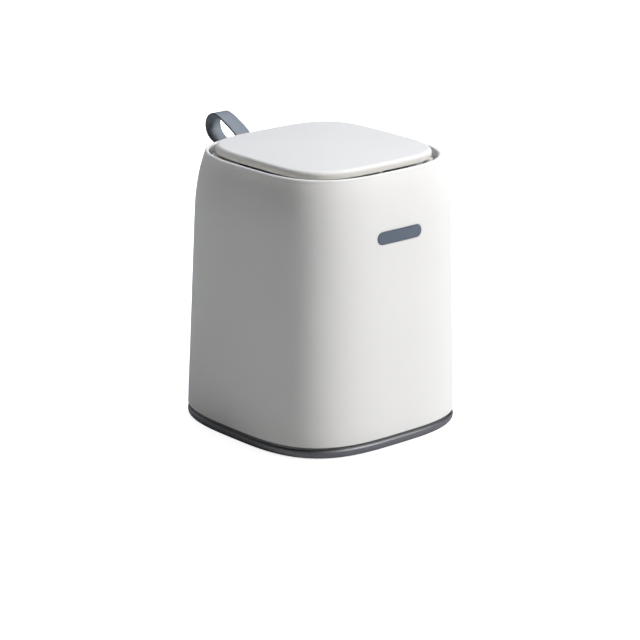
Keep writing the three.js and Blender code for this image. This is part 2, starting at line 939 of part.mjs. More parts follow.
// The free loop, a flat band bent round in the YZ plane
const strapCurve = new THREE.CatmullRomCurve3(
  strapLoopShares.map(
    ([u, v]) => new THREE.Vector3(0, root.y + strapReach * u, root.z + strapRise * v),
  ),
  false,
  "centripetal",
);
const strapLine = strapCurve.getSpacedPoints(strapSteps);

function band(from, to) {
  const outer = [];
  const inner = [];
  for (let i = from; i <= to; i += 1) {
    const before = strapLine[Math.max(i - 1, 0)];
    const after = strapLine[Math.min(i + 1, strapSteps)];
    const along = after.clone().sub(before).normalize();
    const here = strapLine[i];
    const half = strapThickness / 2;
    outer.push(new THREE.Vector2(here.y - along.z * half, here.z + along.y * half));
    inner.unshift(new THREE.Vector2(here.y + along.z * half, here.z - along.y * half));
  }
  const geometry = new THREE.ExtrudeGeometry(new THREE.Shape([...outer, ...inner]), {
    depth: strapWidth,
    bevelEnabled: false,
  });
  const sideways = new THREE.Matrix4().makeBasis(
    new THREE.Vector3(0, 1, 0),
    new THREE.Vector3(0, 0, 1),
    new THREE.Vector3(1, 0, 0),
  );
  return geometry.applyMatrix4(sideways).translate(-strapWidth / 2, 0, 0);
}
const strapMiddle = Math.round(strapSteps / 2);
place(
  "strap_loop",
  join(
    band(0, strapMiddle),
    band(strapMiddle, strapSteps),
    rodX(strapRootRadius, -strapWidth / 2, strapWidth / 2, root.y, root.z),
  ),
  slateLeather,
);

// Rivets through both ends, the wall and the backing plate
const plateOutY = -shellWall - fit;
const plateInY = plateOutY - plateThickness;
const innerHeadY = plateInY - fit;
const outerHeadY = strapOutY + fit;
const rivetProfile = [
  [0, innerHeadY - rivetHeadHeight],
  [rivetInnerHead, innerHeadY - rivetHeadHeight],
  [rivetInnerHead, innerHeadY],
  [rivetShank, innerHeadY],
  [rivetShank, outerHeadY],
  [rivetHead, outerHeadY],
  [rivetHead * rivetCrownShare, outerHeadY + rivetHeadHeight * rivetEdgeShare],
  [0, outerHeadY + rivetHeadHeight],
];
rivetZs.forEach((z, i) => {
  const rivet = turned(rivetProfile, smallSegments).rotateX(-Math.PI / 2);
  place(["strap_rivet_upper", "strap_rivet_lower"][i], rivet, steel, strapWall).position.z = z;
});
const plateHoles = rivetZs.map((z) =>
  rodY(rivetShank + fit, 0, plateInY - overrun, plateOutY + overrun, z),
);
place(
  "strap_backing_plate",
  cut(
    block(
      -plateHalfWidth,
      plateHalfWidth,
      plateInY,
      plateOutY,
      rivetZs[1] - plateEndReach,
      rivetZs[0] + plateEndReach,
    ),
    ...plateHoles,
  ),
  steel,
  strapWall,
);

export default part;
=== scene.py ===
import math

import bmesh
import bpy
from mathutils import Matrix, Quaternion, Vector


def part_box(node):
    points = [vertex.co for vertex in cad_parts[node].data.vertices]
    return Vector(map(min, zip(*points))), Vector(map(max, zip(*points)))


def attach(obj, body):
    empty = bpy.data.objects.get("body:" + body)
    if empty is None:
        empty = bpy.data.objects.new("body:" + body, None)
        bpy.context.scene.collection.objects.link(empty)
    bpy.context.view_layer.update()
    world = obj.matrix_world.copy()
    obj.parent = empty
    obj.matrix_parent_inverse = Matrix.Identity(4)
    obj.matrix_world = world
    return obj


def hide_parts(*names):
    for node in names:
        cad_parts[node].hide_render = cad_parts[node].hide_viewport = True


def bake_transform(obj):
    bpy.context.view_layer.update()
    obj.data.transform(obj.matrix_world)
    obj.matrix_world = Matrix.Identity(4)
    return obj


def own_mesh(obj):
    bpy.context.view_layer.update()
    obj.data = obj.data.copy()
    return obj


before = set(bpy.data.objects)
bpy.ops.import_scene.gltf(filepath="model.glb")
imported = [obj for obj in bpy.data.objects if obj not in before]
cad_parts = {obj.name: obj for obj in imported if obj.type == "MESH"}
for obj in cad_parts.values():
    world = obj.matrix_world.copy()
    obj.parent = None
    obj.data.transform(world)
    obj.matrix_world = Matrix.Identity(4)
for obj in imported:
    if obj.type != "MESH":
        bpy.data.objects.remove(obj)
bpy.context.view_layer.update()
scene = bpy.context.scene

# Camera. It stands left of the front and a little above the lid, a long way back, so the
# can's upright edges stay nearly parallel. Lengths are metres here and in the whole file.
CAMERA_PLACE = (-1.10791, -1.23643, 0.59322)
CAMERA_AIM = (-0.001224, 0, 0.06526)
CAMERA_ROLL = 0.677
CAMERA_LENS = 148.75
CAMERA_FAR = 30

camera = bpy.data.objects.new("camera", bpy.data.cameras.new("camera"))
scene.collection.objects.link(camera)
scene.camera = camera
camera.location = CAMERA_PLACE
camera.rotation_mode = "QUATERNION"
looking = (Vector(CAMERA_AIM) - camera.location).to_track_quat("-Z", "Y")
camera.rotation_quaternion = looking @ Quaternion((0, 0, 1), math.radians(CAMERA_ROLL))
camera.data.lens = CAMERA_LENS
camera.data.clip_end = CAMERA_FAR


# Studio. A pale floor that runs out to a white surround, a soft light from right of the
# front, a larger one high behind the right side, and weak ones on the left and at the back.
FLOOR_REACH = 6
FLOOR_PALE = (0.93, 0.93, 0.935, 1)
FLOOR_GLOW = 0.9
FLOOR_ROUGHNESS = 0.9
FLOOR_BOUNCE = (0.66, 0.66, 0.66, 1)
SURROUND_WHITE = (1, 1, 1, 1)
FILL_STRENGTH = 0.022
FILL_WARM = (1, 0.985, 0.96, 1)
LIGHT_AIM = Vector((0, 0, 0.1))
LIGHT_DISTANCE = 2.4
KEY_SIDE = 0.7
WIDE_SIDE = 1.3


def feed(node, sockets):
    """Gives each named socket of a node a value, or the output that feeds it."""
    for name, value in sockets.items():
        if isinstance(value, bpy.types.NodeSocket):
            node.id_data.links.new(value, node.inputs[name])
        else:
            node.inputs[name].default_value = value


def add_node(tree, kind, sockets=None, **settings):
    """Adds a node with its settings, and feeds its sockets."""
    made = tree.nodes.new(kind)
    for name, value in settings.items():
        setattr(made, name, value)
    feed(made, sockets or {})
    return made


def show_by_ray(tree, lighting, seen, output):
    """Gives a surface one shader for the light on the can and another for the camera."""
    ray = add_node(tree, "ShaderNodeLightPath").outputs["Is Camera Ray"]
    sockets = {0: ray, 1: lighting.outputs[0], 2: seen.outputs[0]}
    either = add_node(tree, "ShaderNodeMixShader", sockets)
    add_node(tree, output, {"Surface": either.outputs[0]})


scene.view_settings.view_transform = "Standard"
scene.world = bpy.data.worlds.new("studio")
scene.world.use_nodes = True
studio = scene.world.node_tree
studio.nodes.clear()
surround = add_node(studio, "ShaderNodeBackground", {"Color": SURROUND_WHITE})
fill = add_node(studio, "ShaderNodeBackground", {"Color": FILL_WARM, "Strength": FILL_STRENGTH})
show_by_ray(studio, fill, surround, "ShaderNodeOutputWorld")


def softbox(name, azimuth, elevation, side, power, colour=(1, 1, 1)):
    """A soft light that faces the can. Azimuth 0 is the front, 90 the can's right side."""
    lamp = bpy.data.lights.new(name, "AREA")
    lamp.size = side
    lamp.energy = power
    lamp.color = colour
    holder = bpy.data.objects.new(name, lamp)
    scene.collection.objects.link(holder)
    turn, rise = math.radians(azimuth), math.radians(elevation)
    away = Vector(
        (math.sin(turn) * math.cos(rise), -math.cos(turn) * math.cos(rise), math.sin(rise))
    )
    holder.location = LIGHT_AIM + away * LIGHT_DISTANCE
    holder.rotation_euler = (-away).to_track_quat("-Z", "Y").to_euler()


softbox("key_light", 30, 38, KEY_SIDE, 56, (0.98, 0.984, 1))
softbox("top_light", 120, 66, WIDE_SIDE, 31.5, (0.857, 0.897, 1))
softbox("left_light", -90, 4, WIDE_SIDE, 4.9)
softbox("back_light", -168, 14, WIDE_SIDE, 5.6, (0.92, 0.95, 1))

floor_mesh = bpy.data.meshes.new("floor")
floor_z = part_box("foot_front_left")[0].z
floor_mesh.from_pydata(
    [(i * FLOOR_REACH, j * FLOOR_REACH, floor_z) for i, j in ((-1, -1), (1, -1), (1, 1), (-1, 1))],
    [],
    [(0, 1, 2, 3)],
)
floor = bpy.data.objects.new("floor", floor_mesh)
scene.collection.objects.link(floor)
floor_paint = bpy.data.materials.new("floor_paint")
floor_paint.use_nodes = True
paint = floor_paint.node_tree
paint.nodes.clear()
shown_floor = add_node(
    paint,
    "ShaderNodeBsdfPrincipled",
    {
        "Base Color": FLOOR_PALE,
        "Roughness": FLOOR_ROUGHNESS,
        "Specular IOR Level": 0,
        "Emission Color": SURROUND_WHITE,
        "Emission Strength": FLOOR_GLOW,
    },
)
dim_floor = add_node(paint, "ShaderNodeBsdfDiffuse", {"Color": FLOOR_BOUNCE})
show_by_ray(paint, dim_floor, shown_floor, "ShaderNodeOutputMaterial")
floor.data.materials.append(floor_paint)


# Base tray. One moulding in dark blue-grey plastic: a floor with a soft bead round its edge,
# a groove above the bead, an upstand that the shell drops over and a low ring that seats the
# bucket. From a little below the top of the bead upwards, the groove and the upstand are
# painted near black as shade. Four shallow round seats underneath take the feet.
MM = 0.001
FIT = 0.3 * MM
BODY_POWER = 3.2
CIRCLE = 2
PLAN_FACETS = 192
ROD_FACETS = 48
TRAY_EDGE_REACH = 2.6 * MM
BEAD_REACH = 1.9 * MM
TRAY_BEAD_SHARES = [
    (0, 0), (0.3, 0.03), (0.55, 0.1), (0.74, 0.185), (0.87, 0.29), (0.96, 0.42), (1, 0.56),
    (0.97, 0.7), (0.88, 0.84), (0.74, 0.94), (0.55, 1),
]
TRAY_FLOOR = 2.4 * MM
GROOVE_HEIGHT = 2.2 * MM
GROOVE_DEPTH = 1.5 * MM
UPSTAND_WALL = 1.8 * MM
UPSTAND_LEAD = 0.8 * MM
BUCKET_LIP_REACH = 1.7 * MM
BUCKET_TAPER = 6 * MM
BUCKET_RING_WALL = 1.4 * MM
BUCKET_RING_HEIGHT = 2.6 * MM
FOOT_SEAT = 0.8 * MM
SHELL_WALL = 2.2 * MM
SMALL_ROUND = 0.3 * MM
OVERRUN = 2 * MM
WELD = 0.001 * MM
ON_AXIS = 0.0001 * MM
CLOUD_DETAIL = 3
GRAIN_DETAIL = 2
GRAIN_DEPTH = 0.05 * MM
FINE_GRAIN = (2200, 0.1)
GREY_PLASTIC = (0.05, 0.055, 0.073, 1)
GREY_GLOSS = (0.48, 0.54)
GREY_IOR = 2.3
GROOVE_PAINTED_SHADE = (0.006, 0.006, 0.007, 1)
BEAD_PAINTED_SHADE_BAND = 0.9 * MM
CORNERS = ("front_left", "front_right", "back_left", "back_right")


def square_reach(angle, power):
    """How far a rounded square of half width 1 reaches at an angle."""
    return (abs(math.cos(angle)) ** power + abs(math.sin(angle)) ** power) ** (-1 / power)


def eased(corners, closed=False, steps=5):
    """A line with rounded corners. Each is (across, up, round), or (across, up) if sharp."""
    points = []
    for i, (across, up, *rounding) in enumerate(corners):
        here = Vector((across, up))
        radius = sum(rounding)
        at_end = not closed and i in (0, len(corners) - 1)
        if at_end or radius == 0:
            points.append(here)
            continue
        before = (Vector(corners[i - 1][:2]) - here).normalized()
        after = (Vector(corners[(i + 1) % len(corners)][:2]) - here).normalized()
        bend = before.angle(after) / 2
        centre = here + (before + after).normalized() * radius / math.sin(bend)
        arm = here + before * radius / math.tan(bend) - centre
        other = here + after * radius / math.tan(bend) - centre
        turn = math.atan2(arm.cross(other), arm.dot(other))
        for step in range(steps + 1):
            points.append(centre + Matrix.Rotation(turn * step / steps, 2) @ arm)
    return points


def bow(centre, radius, start, end, steps, rise=None):
    """Points on an arc, from one angle in degrees to another. With a rise it is elliptical."""
    rise = rise or radius
    angles = [math.radians(start + (end - start) * i / steps) for i in range(steps + 1)]
    return [
        Vector((centre[0] + radius * math.cos(a), centre[1] + rise * math.sin(a))) for a in angles
    ]


def shown(name, mesh):
    """A new piece from a mesh: points that lie on each other are welded, and every face is
    turned outwards."""
    work = bmesh.new()
    work.from_mesh(mesh)
    bmesh.ops.remove_doubles(work, verts=work.verts, dist=WELD)
    bmesh.ops.recalc_face_normals(work, faces=work.faces)
    work.to_mesh(mesh)
    work.free()
    piece = bpy.data.objects.new(name, mesh)
    scene.collection.objects.link(piece)
    return piece


def solid(name, places, skin):
    """A new piece from its points and faces."""
    mesh = bpy.data.meshes.new(name)
    mesh.from_pydata(places, [], skin)
    return shown(name, mesh)


def skin_between(rings):
    """The faces between each ring of points and the next."""
    skin = []
    for low, high in zip(rings, rings[1:]):
        for k in range(len(low)):
            after = (k + 1) % len(low)
            corners = dict.fromkeys((low[k], low[after], high[after], high[k]))
            if len(corners) > 2:
                skin.append(tuple(corners))
    return skin


def mould(name, corners, power=BODY_POWER, facets=PLAN_FACETS):
    """Sweeps a section round a rounded-square plan. The section starts and ends on the axis,
    or else it is closed on itself."""
    closed = corners[0][0] > ON_AXIS
    places, rings = [], []
    for across, up in eased(corners, closed):
        first = len(places)
        if across < ON_AXIS:
            places.append((0, 0, up))
            rings.append([first] * facets)
            continue
        for k in range(facets):
            angle = 2 * math.pi * k / facets
            reach = across * square_reach(angle, power)
            places.append((reach * math.cos(angle), reach * math.sin(angle), up))
        rings.append(list(range(first, first + facets)))
    if closed:
        rings.append(rings[0])
    return solid(name, places, skin_between(rings))


def rod(radius, start, end, name="rod", rounding=0, facets=ROD_FACETS):
    """A round bar between two points: a pin with rounded ends, a tool, or welded on."""
    start, end = Vector(start), Vector(end)
    length = (end - start).length
    section = [(0, 0), (radius, 0, rounding), (radius, length, rounding), (0, length)]
    bar = mould(name, section, CIRCLE, facets)
    aim = (end - start).to_track_quat("Z", "Y").to_matrix().to_4x4()
    bar.data.transform(Matrix.Translation(start) @ aim)
    return bar


def move(piece, x, y, z):
    """Moves a piece's points."""
    piece.data.transform(Matrix.Translation((x, y, z)))


def post(radius, place, foot, top):
    """An upright round bar at a place, between two heights."""
    return rod(radius, (*place[:2], foot), (*place[:2], top))


def block(low, high, name="block"):
    """A square bar between two opposite corners: a piece, a tool, or welded on."""
    ends = [sorted(pair) for pair in zip(low, high)]
    places = [(x, y, z) for x in ends[0] for y in ends[1] for z in ends[2]]
    skin = [(0, 1, 3, 2), (4, 5, 7, 6), (0, 1, 5, 4), (2, 3, 7, 6), (0, 2, 6, 4), (1, 3, 7, 5)]
    return solid(name, places, skin)


def settle(piece):
    """Keeps what a piece's modifiers make of it."""
    graph = bpy.context.evaluated_depsgraph_get()
    piece.data = bpy.data.meshes.new_from_object(piece.evaluated_get(graph))
    piece.modifiers.clear()


def work_with(piece, tools, operation):
    """Welds tools to a piece with UNION, or cuts them out of it with DIFFERENCE."""
    for tool in tools:
        step = piece.modifiers.new(tool.name, "BOOLEAN")
        step.operation = operation
        step.solver = "MANIFOLD"
        step.object = tool
    settle(piece)
    for tool in tools:
        bpy.data.objects.remove(tool)


def add_socket(group, name, way, kind):
    """Adds one named input or output to a finish group."""
    group.interface.new_socket(name, in_out=way, socket_type=kind)


def make_grain():
    """The grain of moulded plastic, and of any fine even surface here: cloudy colour, cloudy
    gloss and a fine relief, a few hundredths of a millimetre deep at most."""
    group = bpy.data.node_groups.new("surface_grain", "ShaderNodeTree")
    for name in ("Colour", "Cloud"):
        add_socket(group, name, "INPUT", "NodeSocketColor")
    for name in ("Cloud Size", "Gloss Low", "Gloss High", "Grain Size", "Relief"):
        add_socket(group, name, "INPUT", "NodeSocketFloat")
    add_socket(group, "Stretch", "INPUT", "NodeSocketVector")
    add_socket(group, "Colour", "OUTPUT", "NodeSocketColor")
    add_socket(group, "Roughness", "OUTPUT", "NodeSocketFloat")
    add_socket(group, "Normal", "OUTPUT", "NodeSocketVector")
    given = add_node(group, "NodeGroupInput").outputs
    place = add_node(group, "ShaderNodeTexCoord").outputs["Object"]
    sockets = {0: place, 1: given["Stretch"]}
    spot = add_node(group, "ShaderNodeVectorMath", sockets, operation="MULTIPLY").outputs[0]
    sockets = {"Vector": spot, "Scale": given["Cloud Size"], "Detail": CLOUD_DETAIL}
    cloud = add_node(group, "ShaderNodeTexNoise", sockets).outputs["Fac"]
    sockets = {"Vector": spot, "Scale": given["Grain Size"], "Detail": GRAIN_DETAIL}
    grain = add_node(group, "ShaderNodeTexNoise", sockets).outputs["Fac"]
    sockets = {"Factor": cloud, "A": given["Colour"], "B": given["Cloud"]}
    tint = add_node(group, "ShaderNodeMix", sockets, data_type="RGBA").outputs["Result"]
    sockets = {"Value": cloud, "To Min": given["Gloss Low"], "To Max": given["Gloss High"]}
    gloss = add_node(group, "ShaderNodeMapRange", sockets).outputs["Result"]
    sockets = {"Strength": given["Relief"], "Distance": GRAIN_DEPTH, "Height": grain}
    relief = add_node(group, "ShaderNodeBump", sockets).outputs["Normal"]
    add_node(group, "NodeGroupOutput", {"Colour": tint, "Roughness": gloss, "Normal": relief})
    return group


surface_grain = make_grain()


def finish(name, colour, cloud, gloss, grain=FINE_GRAIN, cloud_size=25, stretch=(1, 1, 1), own=()):
    """A material whose colour, gloss and relief come from the surface grain. What is the same
    all over is set on the shader's own sockets."""
    made = bpy.data.materials.new(name)
    made.use_nodes = True
    sockets = {
        "Colour": colour,
        "Cloud": [c * cloud for c in colour[:3]] + [1],
        "Cloud Size": cloud_size,
        "Gloss Low": gloss[0],
        "Gloss High": gloss[1],
        "Grain Size": grain[0],
        "Relief": grain[1],
        "Stretch": stretch,
    }
    texture = add_node(made.node_tree, "ShaderNodeGroup", sockets, node_tree=surface_grain)
    look = {"Base Color": "Colour", "Roughness": "Roughness", "Normal": "Normal"}
    shader = made.node_tree.nodes["Principled BSDF"]
    feed(shader, {socket: texture.outputs[output] for socket, output in look.items()})
    feed(shader, dict(own))
    return made


def blend_by_place(material, axis, start, end, colour):
    """Turns a finish to another colour between two distances from the middle on an axis."""
    tree = material.node_tree
    place = add_node(tree, "ShaderNodeTexCoord").outputs["Object"]
    along = add_node(tree, "ShaderNodeSeparateXYZ", {0: place}).outputs[axis]
    distance = add_node(tree, "ShaderNodeMath", {0: along}, operation="ABSOLUTE").outputs[0]
    sockets = {"Value": distance, "From Min": start, "From Max": end}
    share = add_node(tree, "ShaderNodeMapRange", sockets).outputs["Result"]
    sockets = {"Factor": share, "A": tree.nodes["Group"].outputs["Colour"], "B": colour}
    turned = add_node(tree, "ShaderNodeMix", sockets, data_type="RGBA").outputs["Result"]
    feed(tree.nodes["Principled BSDF"], {"Base Color": turned})


def hand_over(piece, material, body, slot, *nodes, angle=35):
    """Shades a finished piece, smooth except at edges sharper than the angle, gives it its
    material and its body, and hides its CAD nodes."""
    piece.data.shade_smooth()
    piece.data.set_sharp_from_angle(angle=math.radians(angle))
    piece.data.materials.clear()
    piece.data.materials.append(material)
    if body:
        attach(piece, body)
    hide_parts(*nodes)


tray_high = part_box("base_tray")[1]
shell_low, shell_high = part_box("outer_shell")
shell_base_half = shell_high.x
tray_under_half = tray_high.x - TRAY_EDGE_REACH
bead_z = shell_low.z - GROOVE_HEIGHT
seat_z = shell_low.z - FIT
upstand_top = tray_high.z
groove_half = shell_base_half - GROOVE_DEPTH
upstand_half = shell_base_half - SHELL_WALL - FIT
bucket_low, bucket_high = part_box("inner_bucket")
bucket_rim_half = bucket_high.x - BUCKET_LIP_REACH
bucket_foot_half = bucket_rim_half - BUCKET_TAPER
ring_inner = bucket_foot_half + FIT
ring_outer = ring_inner + BUCKET_RING_WALL
ring_top = TRAY_FLOOR + BUCKET_RING_HEIGHT
tray = mould(
    "tray_moulding",
    [
        (0, 0),
        *[(tray_under_half + BEAD_REACH * x, bead_z * z) for x, z in TRAY_BEAD_SHARES],
        (groove_half, bead_z, SMALL_ROUND),
        (groove_half, seat_z, SMALL_ROUND),
        (upstand_half, seat_z, SMALL_ROUND / 2),
        (upstand_half, upstand_top - UPSTAND_LEAD, SMALL_ROUND),
        (upstand_half - UPSTAND_LEAD, upstand_top, SMALL_ROUND),
        (upstand_half - UPSTAND_WALL, upstand_top, SMALL_ROUND),
        (upstand_half - UPSTAND_WALL, TRAY_FLOOR, SMALL_ROUND * 2),
        (ring_outer, TRAY_FLOOR, SMALL_ROUND),
        (ring_outer, ring_top, SMALL_ROUND),
        (ring_inner, ring_top, SMALL_ROUND),
        (ring_inner, TRAY_FLOOR, SMALL_ROUND),
        (0, TRAY_FLOOR),
    ],
)


def middle(node):
    """The middle of a CAD node's box."""
    low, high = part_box(node)
    return (low + high) / 2


foot_places = {corner: middle("foot_" + corner) for corner in CORNERS}
foot_low, foot_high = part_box("foot_front_left")
foot_radius = (foot_high.x - foot_low.x) / 2
foot_seats = [post(foot_radius + FIT, p, -OVERRUN, FOOT_SEAT) for p in foot_places.values()]
work_with(tray, foot_seats, "DIFFERENCE")
grey_plastic = finish("grey_plastic", GREY_PLASTIC, cloud=0.88, gloss=GREY_GLOSS, own={"IOR": GREY_IOR})
# Painted shade: the tray's colour turns near black from just below the top of its bead upwards, over
# the groove and the upstand.
blend_by_place(grey_plastic, "Z", bead_z - BEAD_PAINTED_SHADE_BAND, bead_z, GROOVE_PAINTED_SHADE)
hand_over(tray, grey_plastic, "base", "grey_plastic", "base_tray")


# Feet. Four round pads of soft black rubber, pressed into their seats under the tray. Each
# has a rounded sole with a shallow dish in it.
FOOT_ROUND = 0.4 * MM
DISH_RADIUS = 3.2 * MM
DISH_DEPTH = 0.25 * MM
FOOT_FACETS = 64
RUBBER = (0.028, 0.03, 0.033, 1)

foot_rubber = finish(
    "foot_rubber", RUBBER, cloud=0.7, gloss=(0.7, 0.85), grain=(1500, 0.35), cloud_size=120
)
for corner, place in foot_places.items():
    foot = mould(
        "pad_" + corner,
        [
            (0, foot_low.z + DISH_DEPTH),
            (DISH_RADIUS, foot_low.z + DISH_DEPTH, DISH_DEPTH),
            (DISH_RADIUS + DISH_DEPTH, foot_low.z, DISH_DEPTH / 2),
            (foot_radius, foot_low.z, FOOT_ROUND),
            (foot_radius, foot_high.z, FOOT_ROUND / 2),
            (0, foot_high.z),
        ],
        CIRCLE,
        FOOT_FACETS,
    )
    move(foot, place.x, place.y, 0)
    hand_over(foot, foot_rubber, "base", "foot_rubber", "foot_" + corner)


# Inner bucket. A thin pale moulding that lifts out: tapered walls with a round foot and a
# flat lip turned out at the top, which stiffens it and gives the fingers a hold.
BUCKET_WALL = 1.6 * MM
BUCKET_FOOT_ROUND = 3.4 * MM
BUCKET_LIP_HEIGHT = 3 * MM
PALE_PLASTIC = (0.72, 0.73, 0.745, 1)

lip_z = bucket_high.z - BUCKET_LIP_HEIGHT
bucket = mould(
    "bucket_moulding",
    [
        (0, bucket_low.z),
        (bucket_foot_half, bucket_low.z, BUCKET_FOOT_ROUND),
        (bucket_rim_half, lip_z, SMALL_ROUND),
        (bucket_high.x, lip_z, SMALL_ROUND * 2),
        (bucket_high.x, bucket_high.z, BUCKET_WALL),
        (bucket_rim_half - BUCKET_WALL, bucket_high.z, SMALL_ROUND * 2),
        (bucket_foot_half - BUCKET_WALL, bucket_low.z + BUCKET_WALL, BUCKET_FOOT_ROUND),
        (0, bucket_low.z + BUCKET_WALL),
    ],
)
pale_plastic = finish("pale_plastic", PALE_PLASTIC, cloud=0.95, gloss=(0.42, 0.52))
hand_over(bucket, pale_plastic, "base", "inner_plastic", "inner_bucket")


# Outer shell. The white moulding that the eye sees: a tapered wall that falls away into the
# shoulder, a thin round rim, and inside it a ledge that carries the top frame. It has a
# shallow seat for the badge, two rivet holes at the back and four screw bosses.
SHELL_TAPER = 5.4 * MM
SHOULDER_HEIGHT = 42.6 * MM
SHOULDER_FALL = 4.7 * MM
SHOULDER_POWER = 2.45
RIM_ROUND = 1.2 * MM
LEDGE_DEPTH = 6.64 * MM
LEDGE_REACH = 4.7 * MM
LEDGE_THICKNESS = 2 * MM
FOOT_EDGE_ROUND = 0.5 * MM
BOSS_RADIUS = 3.2 * MM
BOSS_HEIGHT = 5.5 * MM
BOSS_ROOF = 0.9 * MM
SCREW_SHANK = 1.1 * MM
RIVET_SHANK = 1.3 * MM
BADGE_HALF_LENGTH = 18.75 * MM
BADGE_HALF_HEIGHT = 4 * MM
BADGE_SEAT_DEPTH = 0.95 * MM
BADGE_DROP = 40.2 * MM
STRAP_TAIL = 14 * MM
STRAP_DROP = 25.44 * MM
RIVET_FIRST = 5.4 * MM
RIVET_PITCH = 5.8 * MM
WALL_ROWS = 12
SHOULDER_ROWS = 22
WHITE_PLASTIC = (0.83, 0.817, 0.788, 1)
WHITE_GLOSS = (0.48, 0.54)
WHITE_BODY = {
    "Specular IOR Level": 0.3,
    "Subsurface Weight": 0.5,
    "Subsurface Radius": (1, 1, 1),
    "Subsurface Scale": 3 * MM,
}

shell_foot = shell_low.z
shell_top = shell_high.z
rim_turn_z = shell_top - RIM_ROUND
shoulder_foot = rim_turn_z - SHOULDER_HEIGHT


def wall_half(z):
    """Half width of the outside of the shell wall at a height."""
    even = (z - shell_foot) / (rim_turn_z - shell_foot)
    above = max(0, (z - shoulder_foot) / SHOULDER_HEIGHT)
    return shell_base_half - SHELL_TAPER * even - SHOULDER_FALL * above**SHOULDER_POWER


def inner_half(z):
    """Half width of the inside of the shell wall at a height."""
    return wall_half(z) - SHELL_WALL


rim_crest = wall_half(rim_turn_z) - RIM_ROUND
rim_inner = inner_half(rim_turn_z)
inner_round = rim_crest - rim_inner
ledge_top = shell_top - LEDGE_DEPTH
ledge_foot = ledge_top - LEDGE_THICKNESS
ledge_inner = rim_inner - LEDGE_REACH
wall_rise = shoulder_foot - shell_foot
heights = [shell_foot + wall_rise * (i + 1) / WALL_ROWS for i in range(WALL_ROWS - 1)]
heights += [shoulder_foot + SHOULDER_HEIGHT * i / SHOULDER_ROWS for i in range(SHOULDER_ROWS)]
rim_outside = bow((rim_crest, rim_turn_z), RIM_ROUND, 0, 90, 10)
rim_inside = bow((rim_crest, shell_top - inner_round), inner_round, 90, 180, 8)
shell = mould(
    "shell_moulding",
    [
        (shell_base_half, shell_foot, FOOT_EDGE_ROUND),
        *[(wall_half(z), z) for z in heights],
        *rim_outside,
        *rim_inside[1:],
        (inner_half(ledge_top), ledge_top, SMALL_ROUND),
        (ledge_inner, ledge_top, SMALL_ROUND),
        (ledge_inner, ledge_foot, SMALL_ROUND),
        (inner_half(ledge_foot), ledge_foot, SMALL_ROUND),
        *[(inner_half(z), z) for z in reversed(heights) if z < ledge_foot - SMALL_ROUND],
        (shell_base_half - SHELL_WALL, shell_foot, FOOT_EDGE_ROUND),
    ],
)

screw_places = {corner: middle("frame_screw_" + corner) for corner in CORNERS}
boss_top = ledge_foot + BOSS_HEIGHT
bosses = [post(BOSS_RADIUS, p, ledge_foot, boss_top) for p in screw_places.values()]
work_with(shell, bosses, "UNION")


def wall_place(z, side, probe):
    """The place on the sloping wall at a height: side 1 is the back and -1 the front. Its
    +Y axis looks back along the wall's slope, and its +Z axis runs up the wall."""
    slope = (wall_half(z - probe) - wall_half(z + probe)) / (2 * probe)
    spot = Matrix.Translation((0, side * wall_half(z), z))
    return spot @ Matrix.Rotation(side * math.atan(slope), 4, "X")


def mesh_from(name, curve):
    """The mesh of a curve with thickness."""
    holder = bpy.data.objects.new(name, curve)
    scene.collection.objects.link(holder)
    graph = bpy.context.evaluated_depsgraph_get()
    mesh = bpy.data.meshes.new_from_object(holder.evaluated_get(graph))
    bpy.data.objects.remove(holder)
    return mesh


def plate(name, outline, thickness, round_edge, holes=(), steps=3):
    """A flat plate in XZ, cut to an outline, with rounded edges. It is centred on Y."""
    sheet = bpy.data.curves.new(name, "CURVE")
    sheet.dimensions = "2D"
    sheet.fill_mode = "BOTH"
    sheet.extrude = thickness / 2 - round_edge
    sheet.bevel_depth = round_edge
    sheet.bevel_resolution = steps
    sheet.offset = -round_edge
    for ring in (outline, *holes):
        line = sheet.splines.new("POLY")
        line.points.add(len(ring) - 1)
        for point, (x, z) in zip(line.points, ring):
            point.co = (x, z, 0, 1)
        line.use_cyclic_u = True
    mesh = mesh_from(name, sheet)
    mesh.transform(Matrix.Rotation(math.pi / 2, 4, "X"))
    return shown(name, mesh)


def pill(half_length, half_height, steps=16, along=14):
    """The outline of a bar with round ends."""
    flat = half_length - half_height
    top = [(flat - 2 * flat * i / along, half_height) for i in range(1, along)]
    right = bow((flat, 0), half_height, -90, 90, steps)
    left = bow((-flat, 0), half_height, 90, 270, steps)
    return [*right, *top, *left, *[(-x, -z) for x, z in top]]


badge_z = shell_top - BADGE_DROP
badge_place = wall_place(badge_z, -1, BADGE_HALF_HEIGHT)
seat_outline = pill(BADGE_HALF_LENGTH + FIT, BADGE_HALF_HEIGHT + FIT)
seat_tool = plate("seat_tool", seat_outline, OVERRUN, 0)
move(seat_tool, 0, BADGE_SEAT_DEPTH - OVERRUN / 2, 0)
seat_tool.data.transform(badge_place)

half_tail = STRAP_TAIL / 2
strap_place = wall_place(shell_top - STRAP_DROP - half_tail, 1, half_tail)
rivet_heights = [half_tail - RIVET_FIRST, half_tail - RIVET_FIRST - RIVET_PITCH]


def rivet_holes(start, end):
    """The tools for both rivet holes, between two depths at the strap's place."""
    tools = [rod(RIVET_SHANK + FIT, (0, start, z), (0, end, z)) for z in rivet_heights]
    for tool in tools:
        tool.data.transform(strap_place)
    return tools


screw_tools = [
    post(SCREW_SHANK + FIT, p, ledge_foot - OVERRUN, boss_top - BOSS_ROOF)
    for p in screw_places.values()
]
rivet_tools = rivet_holes(-SHELL_WALL - OVERRUN, OVERRUN)
work_with(shell, [seat_tool, *rivet_tools, *screw_tools], "DIFFERENCE")
white_plastic = finish("white_plastic", WHITE_PLASTIC, cloud=0.985, gloss=WHITE_GLOSS, own=WHITE_BODY)
hand_over(shell, white_plastic, "shell", "white_plastic", "outer_shell")


